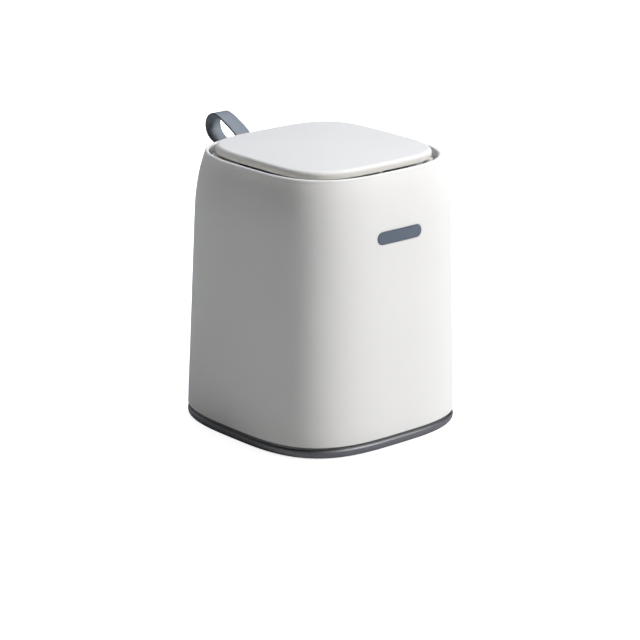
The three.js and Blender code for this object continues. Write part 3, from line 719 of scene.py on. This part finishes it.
# Badge. A small slate plate with round ends, bonded in its seat on the front wall and bent
# to the wall's curve. Its face is bare.
BADGE_THICKNESS = 0.9 * MM
BADGE_ROUND = 0.22 * MM
SLATE_BADGE = (0.105, 0.13, 0.17, 1)


def bent_round_wall(piece, wall):
    """Bends a flat piece on the front wall to the wall's own curve, at its half width there."""
    for point in piece.data.vertices:
        share = min(abs(point.co.x) / wall, 1) ** BODY_POWER
        point.co.y += wall * (1 - (1 - share) ** (1 / BODY_POWER))


badge_outline = pill(BADGE_HALF_LENGTH, BADGE_HALF_HEIGHT)
badge = plate("badge_plate", badge_outline, BADGE_THICKNESS, BADGE_ROUND)
move(badge, 0, BADGE_SEAT_DEPTH - FIT - BADGE_THICKNESS / 2, 0)
bent_round_wall(badge, wall_half(badge_z))
badge.data.transform(badge_place)
slate_badge = finish("slate_badge", SLATE_BADGE, cloud=0.9, gloss=(0.32, 0.4), grain=(1800, 0.12))
hand_over(badge, slate_badge, "shell", "slate_badge", "front_badge")


# Top frame. A pale moulding screwed under the ledge: a flat plate round the mouth, a skirt
# that reaches down into the bucket, two hinge ears at the back, a hole for the catch at the
# front with a boss each side of it, and four screw holes.
FRAME_PLATE = 2 * MM
MOUTH_MARGIN = 17.2 * MM
SKIRT_WALL = 1.6 * MM
EAR_HALF = 2.2 * MM
EAR_NECK = 2.6 * MM
STATION_PLACE = 18 * MM
KNUCKLE_RADIUS = 1.9 * MM
HINGE_INSET = 1.4 * MM
HINGE_RISE = 2 * MM
PIN_RADIUS = 0.8 * MM
CATCH_BOSS_RADIUS = 2.2 * MM
CATCH_BOSS_HEIGHT = 3.6 * MM
CATCH_SCREW_SHANK = 0.9 * MM
HOUSING_HALF_X = 11.2 * MM
HOUSING_HALF_Y = 3.8 * MM
SIDES = {"left": -1, "right": 1}

frame_low, frame_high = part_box("top_frame")
lid_low, lid_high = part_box("lid_cover")
housing_low, housing_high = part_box("catch_housing")
catch_y = (housing_low.y + housing_high.y) / 2
lid_half = lid_high.x
hinge_y = lid_half - HINGE_INSET
hinge_z = lid_low.z + HINGE_RISE
frame_top = ledge_foot - FIT
frame_foot = frame_top - FRAME_PLATE
frame_half = frame_high.x
mouth_half = rim_inner - MOUTH_MARGIN
skirt_half = mouth_half + SKIRT_WALL
skirt_foot = frame_low.z
top_frame = mould(
    "frame_moulding",
    [
        (mouth_half, skirt_foot, SMALL_ROUND * 2),
        (skirt_half, skirt_foot, SMALL_ROUND * 2),
        (skirt_half, frame_foot, SMALL_ROUND * 2),
        (frame_half, frame_foot, SMALL_ROUND),
        (frame_half, frame_top, SMALL_ROUND),
        (mouth_half, frame_top, SMALL_ROUND * 3),
    ],
)
ear_from = STATION_PLACE - EAR_HALF
ear_to = STATION_PLACE + EAR_HALF
catch_screws = {hand: (middle("catch_screw_" + hand).x, catch_y) for hand in SIDES}
boss_foot = frame_foot - CATCH_BOSS_HEIGHT
over_frame = frame_top + OVERRUN


def on_hinge(radius, start, end, **more):
    """A round bar on the hinge's axis, between two places along it."""
    return rod(radius, (start, hinge_y, hinge_z), (end, hinge_y, hinge_z), **more)


def catch_block(half_x, half_y, low, high, name="block"):
    """A bar centred on the catch, between two heights."""
    return block((-half_x, catch_y - half_y, low), (half_x, catch_y + half_y, high), name)


frame_welds = []
frame_cuts = []
for hand, side in SIDES.items():
    frame_welds += [
        on_hinge(KNUCKLE_RADIUS, side * ear_from, side * ear_to),
        block(
            (side * ear_from, hinge_y - EAR_NECK / 2, frame_foot),
            (side * ear_to, hinge_y + EAR_NECK / 2, hinge_z),
        ),
        post(CATCH_BOSS_RADIUS, catch_screws[hand], boss_foot, frame_top),
    ]
    frame_cuts += [
        on_hinge(PIN_RADIUS + FIT, side * OVERRUN, side * frame_half),
        post(CATCH_SCREW_SHANK + FIT, catch_screws[hand], boss_foot - OVERRUN, over_frame),
    ]
hole_foot = housing_low.z - OVERRUN
frame_cuts += [
    catch_block(HOUSING_HALF_X + FIT, HOUSING_HALF_Y + FIT, hole_foot, over_frame),
    *[post(SCREW_SHANK + FIT, p, frame_foot - OVERRUN, over_frame) for p in screw_places.values()],
]
work_with(top_frame, frame_welds, "UNION")
work_with(top_frame, frame_cuts, "DIFFERENCE")
hand_over(top_frame, pale_plastic, "shell", "inner_plastic", "top_frame")


# Frame screws. Four zinc-plated screws with a round head and a cross recess, driven up from
# below through the frame into the bosses of the shell.
SCREW_HEAD = 2.6 * MM
SCREW_HEAD_HEIGHT = 1.8 * MM
HEAD_ROUND = 0.7 * MM
RECESS_DEPTH = 1 * MM
RECESS_REACH_SHARE = 0.55
RECESS_WIDTH_SHARE = 0.17
THREAD_DEPTH = 0.16 * MM
THREAD_PITCH = 0.5 * MM
POINT_SHARE = 0.7
STEEL = (0.56, 0.565, 0.58, 1)
METAL = {"Metallic": 1}


def screw(name, head, head_height, shank, length):
    """A screw with its head's seat at z 0, its head below and its threaded shank above."""
    turns = max(2, round(length / THREAD_PITCH) - 1)
    step = length / (turns + 1)
    thread = []
    for i in range(turns):
        thread += [(shank, step * (i + 0.5)), (shank - THREAD_DEPTH, step * (i + 1))]
    body = mould(
        name,
        [
            (0, -head_height),
            (head, -head_height, HEAD_ROUND),
            (head, 0, SMALL_ROUND / 2),
            (shank, 0),
            *thread,
            (shank * POINT_SHARE, length),
            (0, length),
        ],
        CIRCLE,
        ROD_FACETS,
    )
    reach, wide = head * RECESS_REACH_SHARE, head * RECESS_WIDTH_SHARE
    low, high = -head_height - OVERRUN, -head_height + RECESS_DEPTH
    arms = ((reach, wide), (wide, reach))
    recess = [block((-x, -y, low), (x, y, high)) for x, y in arms]
    work_with(body, recess, "DIFFERENCE")
    return body


screw_steel = finish(
    "screw_steel", STEEL, cloud=0.8, gloss=(0.26, 0.36), grain=(900, 0.08), cloud_size=300, own=METAL
)
for corner, place in screw_places.items():
    low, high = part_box("frame_screw_" + corner)
    head_seat = low.z + SCREW_HEAD_HEIGHT
    made = screw("screw_" + corner, SCREW_HEAD, SCREW_HEAD_HEIGHT, SCREW_SHANK, high.z - head_seat)
    move(made, place.x, place.y, head_seat)
    hand_over(made, screw_steel, "shell", "screw_steel", "frame_screw_" + corner)


# Strap. One strip of slate leather with painted edges: it rises from the inner end, arches
# out and back over itself, and comes down on the outer end. Both ends lie one over the other
# on the back wall, and the free loop bends where it leaves them.
STRAP_WIDTH = 12.5 * MM
STRAP_THICKNESS = 1.5 * MM
STRAP_EDGE_ROUND = 0.42 * MM
STRAP_END_ROUND = 2.6 * MM
STRAP_REACH = 37.9 * MM
STRAP_RISE = 31.5 * MM
STRAP_TURN_SHARES = [
    (0.036, 0.273), (0.1, 0.51), (0.174, 0.665), (0.327, 0.789), (0.454, 0.866),
    (0.596, 0.947), (0.723, 0.994), (0.797, 1), (0.879, 0.966), (0.953, 0.894),
    (0.992, 0.795), (1, 0.693), (0.966, 0.568), (0.889, 0.469), (0.765, 0.394),
    (0.517, 0.26), (0.227, 0.109),
]
STRAP_FOLD_ROUND = 2.2 * MM
STRAP_SAMPLES = 260
SLATE_LEATHER = (0.215, 0.245, 0.278, 1)
LEATHER_EDGE = (0.12, 0.132, 0.155, 1)

inner_lie = FIT + STRAP_THICKNESS / 2
outer_lie = inner_lie + STRAP_THICKNESS + FIT
root = strap_place @ Vector((0, (inner_lie + outer_lie) / 2, half_tail))


def on_wall(lie, up):
    """A point of the strap's centre line on the back wall, as (y, z)."""
    point = strap_place @ Vector((0, lie, up))
    return Vector((point.y, point.z))


def flowing(points, per_span=14):
    """A smooth line through points."""
    ends = [points[0] * 2 - points[1], *points, points[-1] * 2 - points[-2]]
    line = []
    for a, b, c, d in zip(ends, ends[1:], ends[2:], ends[3:]):
        for step in range(per_span):
            t = step / per_span
            line.append(
                b
                + (c - a) * (t / 2)
                + (a * 2 - b * 5 + c * 4 - d) * (t * t / 2)
                + (b * 3 - a - c * 3 + d) * (t**3 / 2)
            )
    line.append(points[-1])
    return line


def even(line, count):
    """The same line cut into equal steps."""
    runs = [0]
    for a, b in zip(line, line[1:]):
        runs.append(runs[-1] + (b - a).length)
    spaced, k = [], 0
    for i in range(count + 1):
        run = runs[-1] * i / count
        while k < len(runs) - 2 and runs[k + 1] < run:
            k += 1
        share = (run - runs[k]) / (runs[k + 1] - runs[k])
        spaced.append(line[k].lerp(line[k + 1], share))
    return spaced, runs[-1]


root_yz = Vector((root.y, root.z))
arch = [root_yz + Vector((STRAP_REACH * u, STRAP_RISE * v)) for u, v in STRAP_TURN_SHARES]
inner_tail = [on_wall(inner_lie, half_tail * share) for share in (-1, -0.5, 0, 0.5, 1)]
outer_foot = on_wall(outer_lie, -half_tail)
outer_turn = on_wall(outer_lie, half_tail + FIT)
fold = eased([arch[-1], (*outer_turn, STRAP_FOLD_ROUND), outer_foot], steps=10)
centre_line, strap_length = even([*flowing([*inner_tail, *arch])[:-1], *fold], STRAP_SAMPLES)


def soft_box(half_width, foot, top, rounding, steps=5):
    """The outline of a rectangle with rounded corners, between two heights."""
    corners = ((-half_width, foot), (half_width, foot), (half_width, top), (-half_width, top))
    return eased([(*corner, rounding) for corner in corners], closed=True, steps=steps)


half_thick = STRAP_THICKNESS / 2
edge_section = soft_box(STRAP_WIDTH / 2, -half_thick, half_thick, STRAP_EDGE_ROUND, 4)
places, rings = [], []
for i, here in enumerate(centre_line):
    before = centre_line[max(i - 1, 0)]
    after = centre_line[min(i + 1, STRAP_SAMPLES)]
    along = (after - before).normalized()
    outward = Vector((-along.y, along.x))
    from_end = strap_length * min(i, STRAP_SAMPLES - i) / STRAP_SAMPLES
    missing = max(0, STRAP_END_ROUND - from_end)
    narrow = STRAP_END_ROUND - math.sqrt(STRAP_END_ROUND**2 - missing**2)
    squeeze = 1 - 2 * narrow / STRAP_WIDTH
    rings.append(range(len(places), len(places) + len(edge_section)))
    for x, depth in edge_section:
        spot = here + outward * depth
        places.append((x * squeeze, spot.x, spot.y))
strap = solid("strap_band", places, [*skin_between(rings), rings[0], rings[-1]])
strap_out = outer_lie + STRAP_THICKNESS / 2
work_with(strap, rivet_holes(-OVERRUN, strap_out + OVERRUN), "DIFFERENCE")

leather = finish(
    "slate_leather", SLATE_LEATHER, cloud=0.8, gloss=(0.46, 0.6), grain=(1100, 0.5), cloud_size=160
)
paint_from = STRAP_WIDTH / 2 - STRAP_EDGE_ROUND
blend_by_place(leather, "X", paint_from, paint_from + STRAP_EDGE_ROUND / 2, LEATHER_EDGE)
hand_over(
    strap, leather, None, "slate_leather", "strap_loop", "strap_end_inner", "strap_end_outer"
)
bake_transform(strap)


# Rivets and backing plate. Two nickel-plated rivets go through both strap ends and the wall;
# inside the shell they are spread over a thin steel plate that keeps the wall from tearing.
RIVET_HEAD = 2.75 * MM
RIVET_HEAD_HEIGHT = 1.2 * MM
RIVET_INNER_HEAD = 2.2 * MM
PLATE_HALF_WIDTH = 5 * MM
PLATE_THICKNESS = 1.2 * MM
PLATE_END_REACH = 3.4 * MM
PLATE_ROUND = 0.25 * MM
PLATE_CORNER = 1 * MM
RIVET_FACETS = 64
NICKEL = (0.6, 0.59, 0.57, 1)

rivet_metal = finish(
    "rivet_metal", NICKEL, cloud=0.86, gloss=(0.2, 0.3), grain=(700, 0.05), cloud_size=260, own=METAL
)
plate_out = -SHELL_WALL - FIT
inner_head = plate_out - PLATE_THICKNESS - FIT
outer_head = strap_out + FIT
dome = bow((0, outer_head), RIVET_HEAD, 8, 90, 10, rise=RIVET_HEAD_HEIGHT)
for name, z in zip(("strap_rivet_upper", "strap_rivet_lower"), rivet_heights):
    rivet = mould(
        name.replace("strap_rivet", "rivet"),
        [
            (0, inner_head - RIVET_HEAD_HEIGHT),
            (RIVET_INNER_HEAD, inner_head - RIVET_HEAD_HEIGHT, SMALL_ROUND),
            (RIVET_INNER_HEAD, inner_head, SMALL_ROUND),
            (RIVET_SHANK, inner_head),
            (RIVET_SHANK, outer_head),
            (RIVET_HEAD, outer_head),
            *dome[:-1],
            (0, outer_head + RIVET_HEAD_HEIGHT),
        ],
        CIRCLE,
        RIVET_FACETS,
    )
    rivet.data.transform(Matrix.Rotation(-math.pi / 2, 4, "X"))
    rivet.data.transform(strap_place @ Matrix.Translation((0, 0, z)))
    hand_over(rivet, rivet_metal, "shell", "rivet_metal", name)

plate_top = rivet_heights[0] + PLATE_END_REACH
plate_foot = rivet_heights[1] - PLATE_END_REACH
plate_outline = soft_box(PLATE_HALF_WIDTH, plate_foot, plate_top, PLATE_CORNER)
plate_holes = [bow((0, z), RIVET_SHANK + FIT, 0, 360, 32)[:-1] for z in rivet_heights]
backing = plate("backing_plate", plate_outline, PLATE_THICKNESS, PLATE_ROUND, plate_holes)
move(backing, 0, plate_out - PLATE_THICKNESS / 2, 0)
backing.data.transform(strap_place)
hand_over(backing, rivet_metal, "shell", "rivet_metal", "strap_backing_plate")


# Lid cover. A white plate with a soft edge and a slight crown, moulded as one skin with a
# short wall, whose colour below the edge's round is painted darker and warmer as shade from
# the gap. The back is notched for the hinge.
LID_POWER = 3.9
LID_HEIGHT = 5.2 * MM
LID_ROUND = 2.5 * MM
LID_CROWN = 2 * MM
LID_CROWN_POWER = 1.84
LID_SKIN = 2 * MM
LID_FOOT_ROUND = 0.4 * MM
LID_ROWS = 12
LID_SIDE_PAINTED_SHADE = (0.81, 0.785, 0.725, 1)
KNUCKLE_PLAY = 0.4 * MM
OUTER_LUG = 4.6 * MM
INNER_LUG = 3.9 * MM
SPRING_ROOM = 3.9 * MM

lid_edge = lid_low.z + LID_HEIGHT
lid_turn_half = lid_half - LID_ROUND
lid_turn_z = lid_edge - LID_ROUND
lid_inner = lid_half - LID_SKIN


def crown(across):
    """Rise of the lid's crown above its edge, at a half width."""
    return LID_CROWN * (1 - (across / lid_turn_half) ** LID_CROWN_POWER)


steps = [lid_turn_half * i / LID_ROWS for i in range(LID_ROWS)]
under_steps = [h for h in steps if h < lid_turn_half - LID_SKIN]
lid_cover = mould(
    "lid_skin",
    [
        *[(h, lid_edge + crown(h) - LID_SKIN) for h in under_steps],
        (lid_inner, lid_turn_z + SMALL_ROUND, LID_ROUND - LID_SKIN),
        (lid_inner, lid_low.z, SMALL_ROUND / 2),
        (lid_half, lid_low.z, LID_FOOT_ROUND),
        *bow((lid_turn_half, lid_turn_z), LID_ROUND, 0, 90, 14),
        *[(h, lid_edge + crown(h)) for h in reversed(steps)],
    ],
    LID_POWER,
)
station_inner = ear_from - SPRING_ROOM - INNER_LUG - FIT
station_outer = ear_to + KNUCKLE_PLAY + OUTER_LUG + FIT
pocket_radius = KNUCKLE_RADIUS + KNUCKLE_PLAY


def pocket(side, start, end):
    """The tools that clear room for the hinge between two places along its axis."""
    return [
        on_hinge(pocket_radius, side * start, side * end),
        block(
            (side * start, hinge_y - pocket_radius, lid_low.z - OVERRUN),
            (side * end, hinge_y + pocket_radius, hinge_z),
        ),
    ]


notches = [pocket(side, station_inner, station_outer) for side in SIDES.values()]
work_with(lid_cover, sum(notches, []), "DIFFERENCE")
lid_white_painted_shade = white_plastic.copy()
lid_white_painted_shade.name = "lid_white_painted_shade"
# Painted shade: the lid's wall and the lower half of its edge round are coloured darker and warmer than
# its top.
blend_by_place(lid_white_painted_shade, "Z", lid_turn_z + LID_ROUND / 2, lid_turn_z, LID_SIDE_PAINTED_SHADE)
hand_over(lid_cover, lid_white_painted_shade, "lid", "white_plastic", "lid_cover")


# Panel under the lid. A flat pale plate fixed inside the lid's wall, with four round lugs
# for the hinge pins, clearance for the ears and springs, and a slot for the striker.
PANEL_PLAY = 0.4 * MM
PANEL_ROUND = 0.35 * MM
LUG_ROOT = 6 * MM
STRIKER_STEM_HALF = 1.2 * MM
STRIKER_DEPTH_HALF = 1.3 * MM
PANEL_RECESS = 0.7 * MM
PANEL_THICKNESS = 1.4 * MM

panel_foot = lid_low.z + PANEL_RECESS
panel_top = panel_foot + PANEL_THICKNESS
panel_half = lid_inner - PANEL_PLAY
panel = mould(
    "panel_moulding",
    [
        (0, panel_foot),
        (panel_half, panel_foot, PANEL_ROUND),
        (panel_half, panel_top, PANEL_ROUND),
        (0, panel_top),
    ],
    LID_POWER,
)
spring_from = ear_from - SPRING_ROOM
panel_cuts, panel_welds, panel_bores = [], [], []
for side in SIDES.values():
    panel_cuts += pocket(side, spring_from, ear_to + KNUCKLE_PLAY)
    for start, length in ((ear_to + KNUCKLE_PLAY, OUTER_LUG), (spring_from - INNER_LUG, INNER_LUG)):
        ends = (side * start, side * (start + length))
        panel_welds += [
            on_hinge(KNUCKLE_RADIUS, *ends),
            block((ends[0], hinge_y - LUG_ROOT, panel_foot), (ends[1], hinge_y, panel_top)),
        ]
    panel_bores.append(on_hinge(PIN_RADIUS + FIT, side * OVERRUN, side * frame_half))
slot_half = (STRIKER_STEM_HALF + FIT, STRIKER_DEPTH_HALF + FIT)
panel_bores.append(catch_block(*slot_half, panel_foot - OVERRUN, panel_top + OVERRUN))
work_with(panel, panel_cuts, "DIFFERENCE")
work_with(panel, panel_welds, "UNION")
work_with(panel, panel_bores, "DIFFERENCE")
hand_over(panel, pale_plastic, "lid", "inner_plastic", "lid_inner_panel")


# Hinge pins and lid springs. A ground steel pin in each station, and round it a torsion coil
# of thin wire: one leg stands on the frame and the other lies under the panel.
PIN_END_ROUND = 0.15 * MM
SPRING_WIRE = 0.2 * MM
SPRING_RADIUS = 1.45 * MM
SPRING_LENGTH = 2.9 * MM
SPRING_TURNS = 3.75
SPRING_REACH = 7.4 * MM
SPRING_DIP = 1.2 * MM
SPRING_SAMPLES = 220
PIN_FACETS = 40
GROUND_STEEL = (0.6, 0.605, 0.62, 1)
GRINDING_MARKS = (0.2, 1, 1)
WIRE_STEEL = (0.5, 0.51, 0.53, 1)

pin_steel = finish(
    "pin_steel",
    GROUND_STEEL,
    cloud=0.85,
    gloss=(0.16, 0.26),
    grain=(900, 0.06),
    cloud_size=300,
    stretch=GRINDING_MARKS,
    own=METAL,
)
spring_steel = finish(
    "spring_steel",
    WIRE_STEEL,
    cloud=0.85,
    gloss=(0.18, 0.3),
    grain=(1200, 0.06),
    cloud_size=400,
    own=METAL,
)


def wire(name, points, radius, sides=5):
    """A round wire along points, closed at both ends."""
    line = bpy.data.curves.new(name, "CURVE")
    line.dimensions = "3D"
    line.bevel_depth = radius
    line.bevel_resolution = sides
    line.use_fill_caps = True
    path = line.splines.new("POLY")
    path.points.add(len(points) - 1)
    for point, place in zip(path.points, points):
        point.co = (*place, 1)
    return shown(name, mesh_from(name, line))


spring_drop = hinge_z - frame_top - FIT - SPRING_WIRE
wound = 2 * math.pi * SPRING_TURNS * SPRING_RADIUS
for hand, side in SIDES.items():
    hinge_pin = on_hinge(
        PIN_RADIUS,
        side * (station_inner + FIT),
        side * (station_outer - FIT),
        name="pivot_" + hand,
        rounding=PIN_END_ROUND,
        facets=PIN_FACETS,
    )
    hand_over(hinge_pin, pin_steel, "shell", "pin_steel", "hinge_pin_" + hand)
    points = []
    for i in range(SPRING_SAMPLES + 1):
        run = (spring_drop + wound + SPRING_REACH) * i / SPRING_SAMPLES
        coil = min(1, max(0, (run - spring_drop) / wound))
        below = max(0, spring_drop - run)
        beyond = max(0, run - spring_drop - wound)
        angle = math.pi * (1 - 2 * SPRING_TURNS * coil)
        points.append(
            (
                side * (ear_from - FIT - SPRING_WIRE - SPRING_LENGTH * coil),
                hinge_y + SPRING_RADIUS * math.cos(angle) - beyond,
                hinge_z + SPRING_RADIUS * math.sin(angle) - below - SPRING_DIP * beyond / SPRING_REACH,
            )
        )
    torsion = wire("coil_" + hand, points, SPRING_WIRE)
    hand_over(torsion, spring_steel, None, "spring_steel", "lid_spring_" + hand, angle=60)
    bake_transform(torsion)


# Striker. A small off-white moulding that hangs from the front of the lid: a foot plate
# under the panel, a clip over it, and a stem with the head that the claws hold.
STRIKER_HEAD_HALF = 2.2 * MM
STRIKER_HEAD_HEIGHT = 2.2 * MM
STRIKER_PLATE_X = 7 * MM
STRIKER_PLATE_Y = 2.1 * MM
STRIKER_PLATE_HEIGHT = 1.3 * MM
STRIKER_CLIP_HALF = 2.1 * MM
CATCH_EDGE = 0.2 * MM
CATCH_EDGE_STEPS = 2
SHARP_ANGLE = 40
CATCH_PLASTIC = (0.8, 0.8, 0.77, 1)

catch_plastic = finish("catch_plastic", CATCH_PLASTIC, cloud=0.95, gloss=(0.28, 0.36))


def softened(piece):
    """Rounds a piece's sharp edges."""
    edge = piece.modifiers.new("edge", "BEVEL")
    edge.width = CATCH_EDGE
    edge.segments = CATCH_EDGE_STEPS
    edge.limit_method = "ANGLE"
    edge.angle_limit = math.radians(SHARP_ANGLE)
    settle(piece)


striker_low, striker_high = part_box("lid_striker")
head_top = striker_low.z + STRIKER_HEAD_HEIGHT
stem_foot = striker_low.z + CATCH_EDGE
strut_top = panel_foot - FIT
strut_foot = strut_top - STRIKER_PLATE_HEIGHT
clip_foot = panel_top + FIT
striker = catch_block(
    STRIKER_HEAD_HALF, STRIKER_DEPTH_HALF, striker_low.z, head_top, "striker_moulding"
)
striker_welds = [
    catch_block(STRIKER_STEM_HALF, STRIKER_DEPTH_HALF, stem_foot, striker_high.z),
    catch_block(STRIKER_PLATE_X, STRIKER_PLATE_Y, strut_foot, strut_top),
    catch_block(STRIKER_CLIP_HALF, STRIKER_DEPTH_HALF, clip_foot, striker_high.z),
]
work_with(striker, striker_welds, "UNION")
softened(striker)
hand_over(striker, catch_plastic, "lid", "catch_plastic", "lid_striker")


# Catch housing. An off-white box hung in the frame by its flange, open at the top, with
# cross holes for the claw pins and a screw hole at each end of the flange.
FLANGE_Y = 5.1 * MM
HOUSING_FLOOR = 1.5 * MM
HOUSING_WALL_X = 1.4 * MM
HOUSING_WALL_Y = 1.2 * MM
CLAW_PIN_RADIUS = 0.8 * MM

flange_foot = frame_top + FIT
cavity_half_y = HOUSING_HALF_Y - HOUSING_WALL_Y
cavity_foot = housing_low.z + HOUSING_FLOOR
cavity_half_x = HOUSING_HALF_X - HOUSING_WALL_X
over_housing = housing_high.z + OVERRUN
claw_pins = {hand: middle("claw_pin_" + hand) for hand in SIDES}
housing = catch_block(
    HOUSING_HALF_X, HOUSING_HALF_Y, housing_low.z, housing_high.z, "housing_moulding"
)
flange = catch_block(housing_high.x, FLANGE_Y, flange_foot, housing_high.z)
work_with(housing, [flange], "UNION")
cavity = catch_block(cavity_half_x, cavity_half_y, cavity_foot, over_housing)
work_with(housing, [cavity], "DIFFERENCE")
softened(housing)
housing_cuts = []
for hand in SIDES:
    axle = claw_pins[hand]
    housing_cuts += [
        rod(
            CLAW_PIN_RADIUS + FIT,
            (axle.x, catch_y - HOUSING_HALF_Y - OVERRUN, axle.z),
            (axle.x, catch_y + HOUSING_HALF_Y + OVERRUN, axle.z),
        ),
        post(CATCH_SCREW_SHANK + FIT, catch_screws[hand], flange_foot - OVERRUN, over_housing),
    ]
work_with(housing, housing_cuts, "DIFFERENCE")
hand_over(housing, catch_plastic, "shell", "catch_plastic", "catch_housing")


# Catch screws, claws and claw pins. Two small screws hold the housing to the frame. The two
# claws swing on pins across the housing, and their hooks close over the striker's head.
CATCH_SCREW_HEAD = 1.9 * MM
CATCH_SCREW_HEIGHT = 1.1 * MM
CLAW_EYE = 2 * MM
CLAW_ARM_HALF = 1.2 * MM
CLAW_HOOK_REACH = 1.5 * MM
CLAW_HOOK_HEIGHT = 1.5 * MM
CLAW_ROUND = 0.35 * MM

hook_foot = head_top + FIT
hook_top = hook_foot + CLAW_HOOK_HEIGHT
slide_half_y = cavity_half_y - FIT
meet = math.degrees(math.acos(CLAW_ARM_HALF / CLAW_EYE))
for hand, side in SIDES.items():
    low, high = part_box("catch_screw_" + hand)
    made = screw(
        "small_screw_" + hand,
        CATCH_SCREW_HEAD,
        CATCH_SCREW_HEIGHT,
        CATCH_SCREW_SHANK,
        high.z - low.z - CATCH_SCREW_HEIGHT,
    )
    made.data.transform(Matrix.Rotation(math.pi, 4, "X"))
    move(made, *catch_screws[hand], high.z - CATCH_SCREW_HEIGHT)
    hand_over(made, screw_steel, "shell", "screw_steel", "catch_screw_" + hand)

    axle = claw_pins[hand]
    away = abs(axle.x)
    outline = [
        *bow((away, axle.z), CLAW_EYE, meet, -180 - meet, 24),
        *eased(
            [
                (away - CLAW_ARM_HALF, axle.z + CLAW_EYE),
                (away - CLAW_ARM_HALF, hook_foot, CLAW_ROUND),
                (CLAW_HOOK_REACH, hook_foot, CLAW_ROUND),
                (CLAW_HOOK_REACH, hook_top, CLAW_ROUND),
                (away + CLAW_ARM_HALF, hook_top, CLAW_ROUND),
                (away + CLAW_ARM_HALF, axle.z + CLAW_EYE),
            ]
        ),
    ]
    bore = bow((away, axle.z), CLAW_PIN_RADIUS + FIT, 0, 360, 28)[:-1]
    outline, bore = [[(side * x, z) for x, z in ring] for ring in (outline, bore)]
    claw = plate("claw_" + hand, outline, 2 * slide_half_y, CATCH_EDGE, [bore])
    move(claw, 0, catch_y, 0)
    hand_over(claw, catch_plastic, "claw_" + hand, "catch_plastic", "catch_claw_" + hand)
    claw_pin = rod(
        CLAW_PIN_RADIUS,
        (axle.x, catch_y - HOUSING_HALF_Y, axle.z),
        (axle.x, catch_y + HOUSING_HALF_Y, axle.z),
        name="axle_" + hand,
        rounding=PIN_END_ROUND,
        facets=PIN_FACETS,
    )
    hand_over(claw_pin, pin_steel, "shell", "pin_steel", "claw_pin_" + hand)


# Plunger and its spring. The plunger slides down between the claws and spreads them when
# the lid is pressed; a small coil spring round its stem lifts it again.
PLUNGER_HALF_X = 3.7 * MM
PLUNGER_HEIGHT = 2.5 * MM
PLUNGER_STEM = 1.1 * MM
CATCH_WIRE = 0.25 * MM
CATCH_COIL_RADIUS = 1.85 * MM
CATCH_TURNS = 4.5
CATCH_SAMPLES = 160

plunger_low, plunger_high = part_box("catch_plunger")
plunger_foot = plunger_high.z - PLUNGER_HEIGHT
plunger = catch_block(
    PLUNGER_HALF_X, slide_half_y, plunger_foot, plunger_high.z, "plunger_moulding"
)
softened(plunger)
stem = post(PLUNGER_STEM, (0, catch_y), plunger_low.z, plunger_high.z - PLUNGER_STEM)
work_with(plunger, [stem], "UNION")
hand_over(plunger, catch_plastic, "plunger", "catch_plastic", "catch_plunger")

coil_foot = cavity_foot + FIT + CATCH_WIRE
coil_top = plunger_foot - FIT - CATCH_WIRE
coil_points = []
for i in range(CATCH_SAMPLES + 1):
    share = i / CATCH_SAMPLES
    angle = 2 * math.pi * CATCH_TURNS * share
    coil_points.append(
        (
            CATCH_COIL_RADIUS * math.cos(angle),
            catch_y + CATCH_COIL_RADIUS * math.sin(angle),
            coil_foot + (coil_top - coil_foot) * share,
        )
    )
catch_coil = wire("catch_coil", coil_points, CATCH_WIRE)
hand_over(catch_coil, spring_steel, "shell", "spring_steel", "catch_spring", angle=60)
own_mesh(catch_coil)
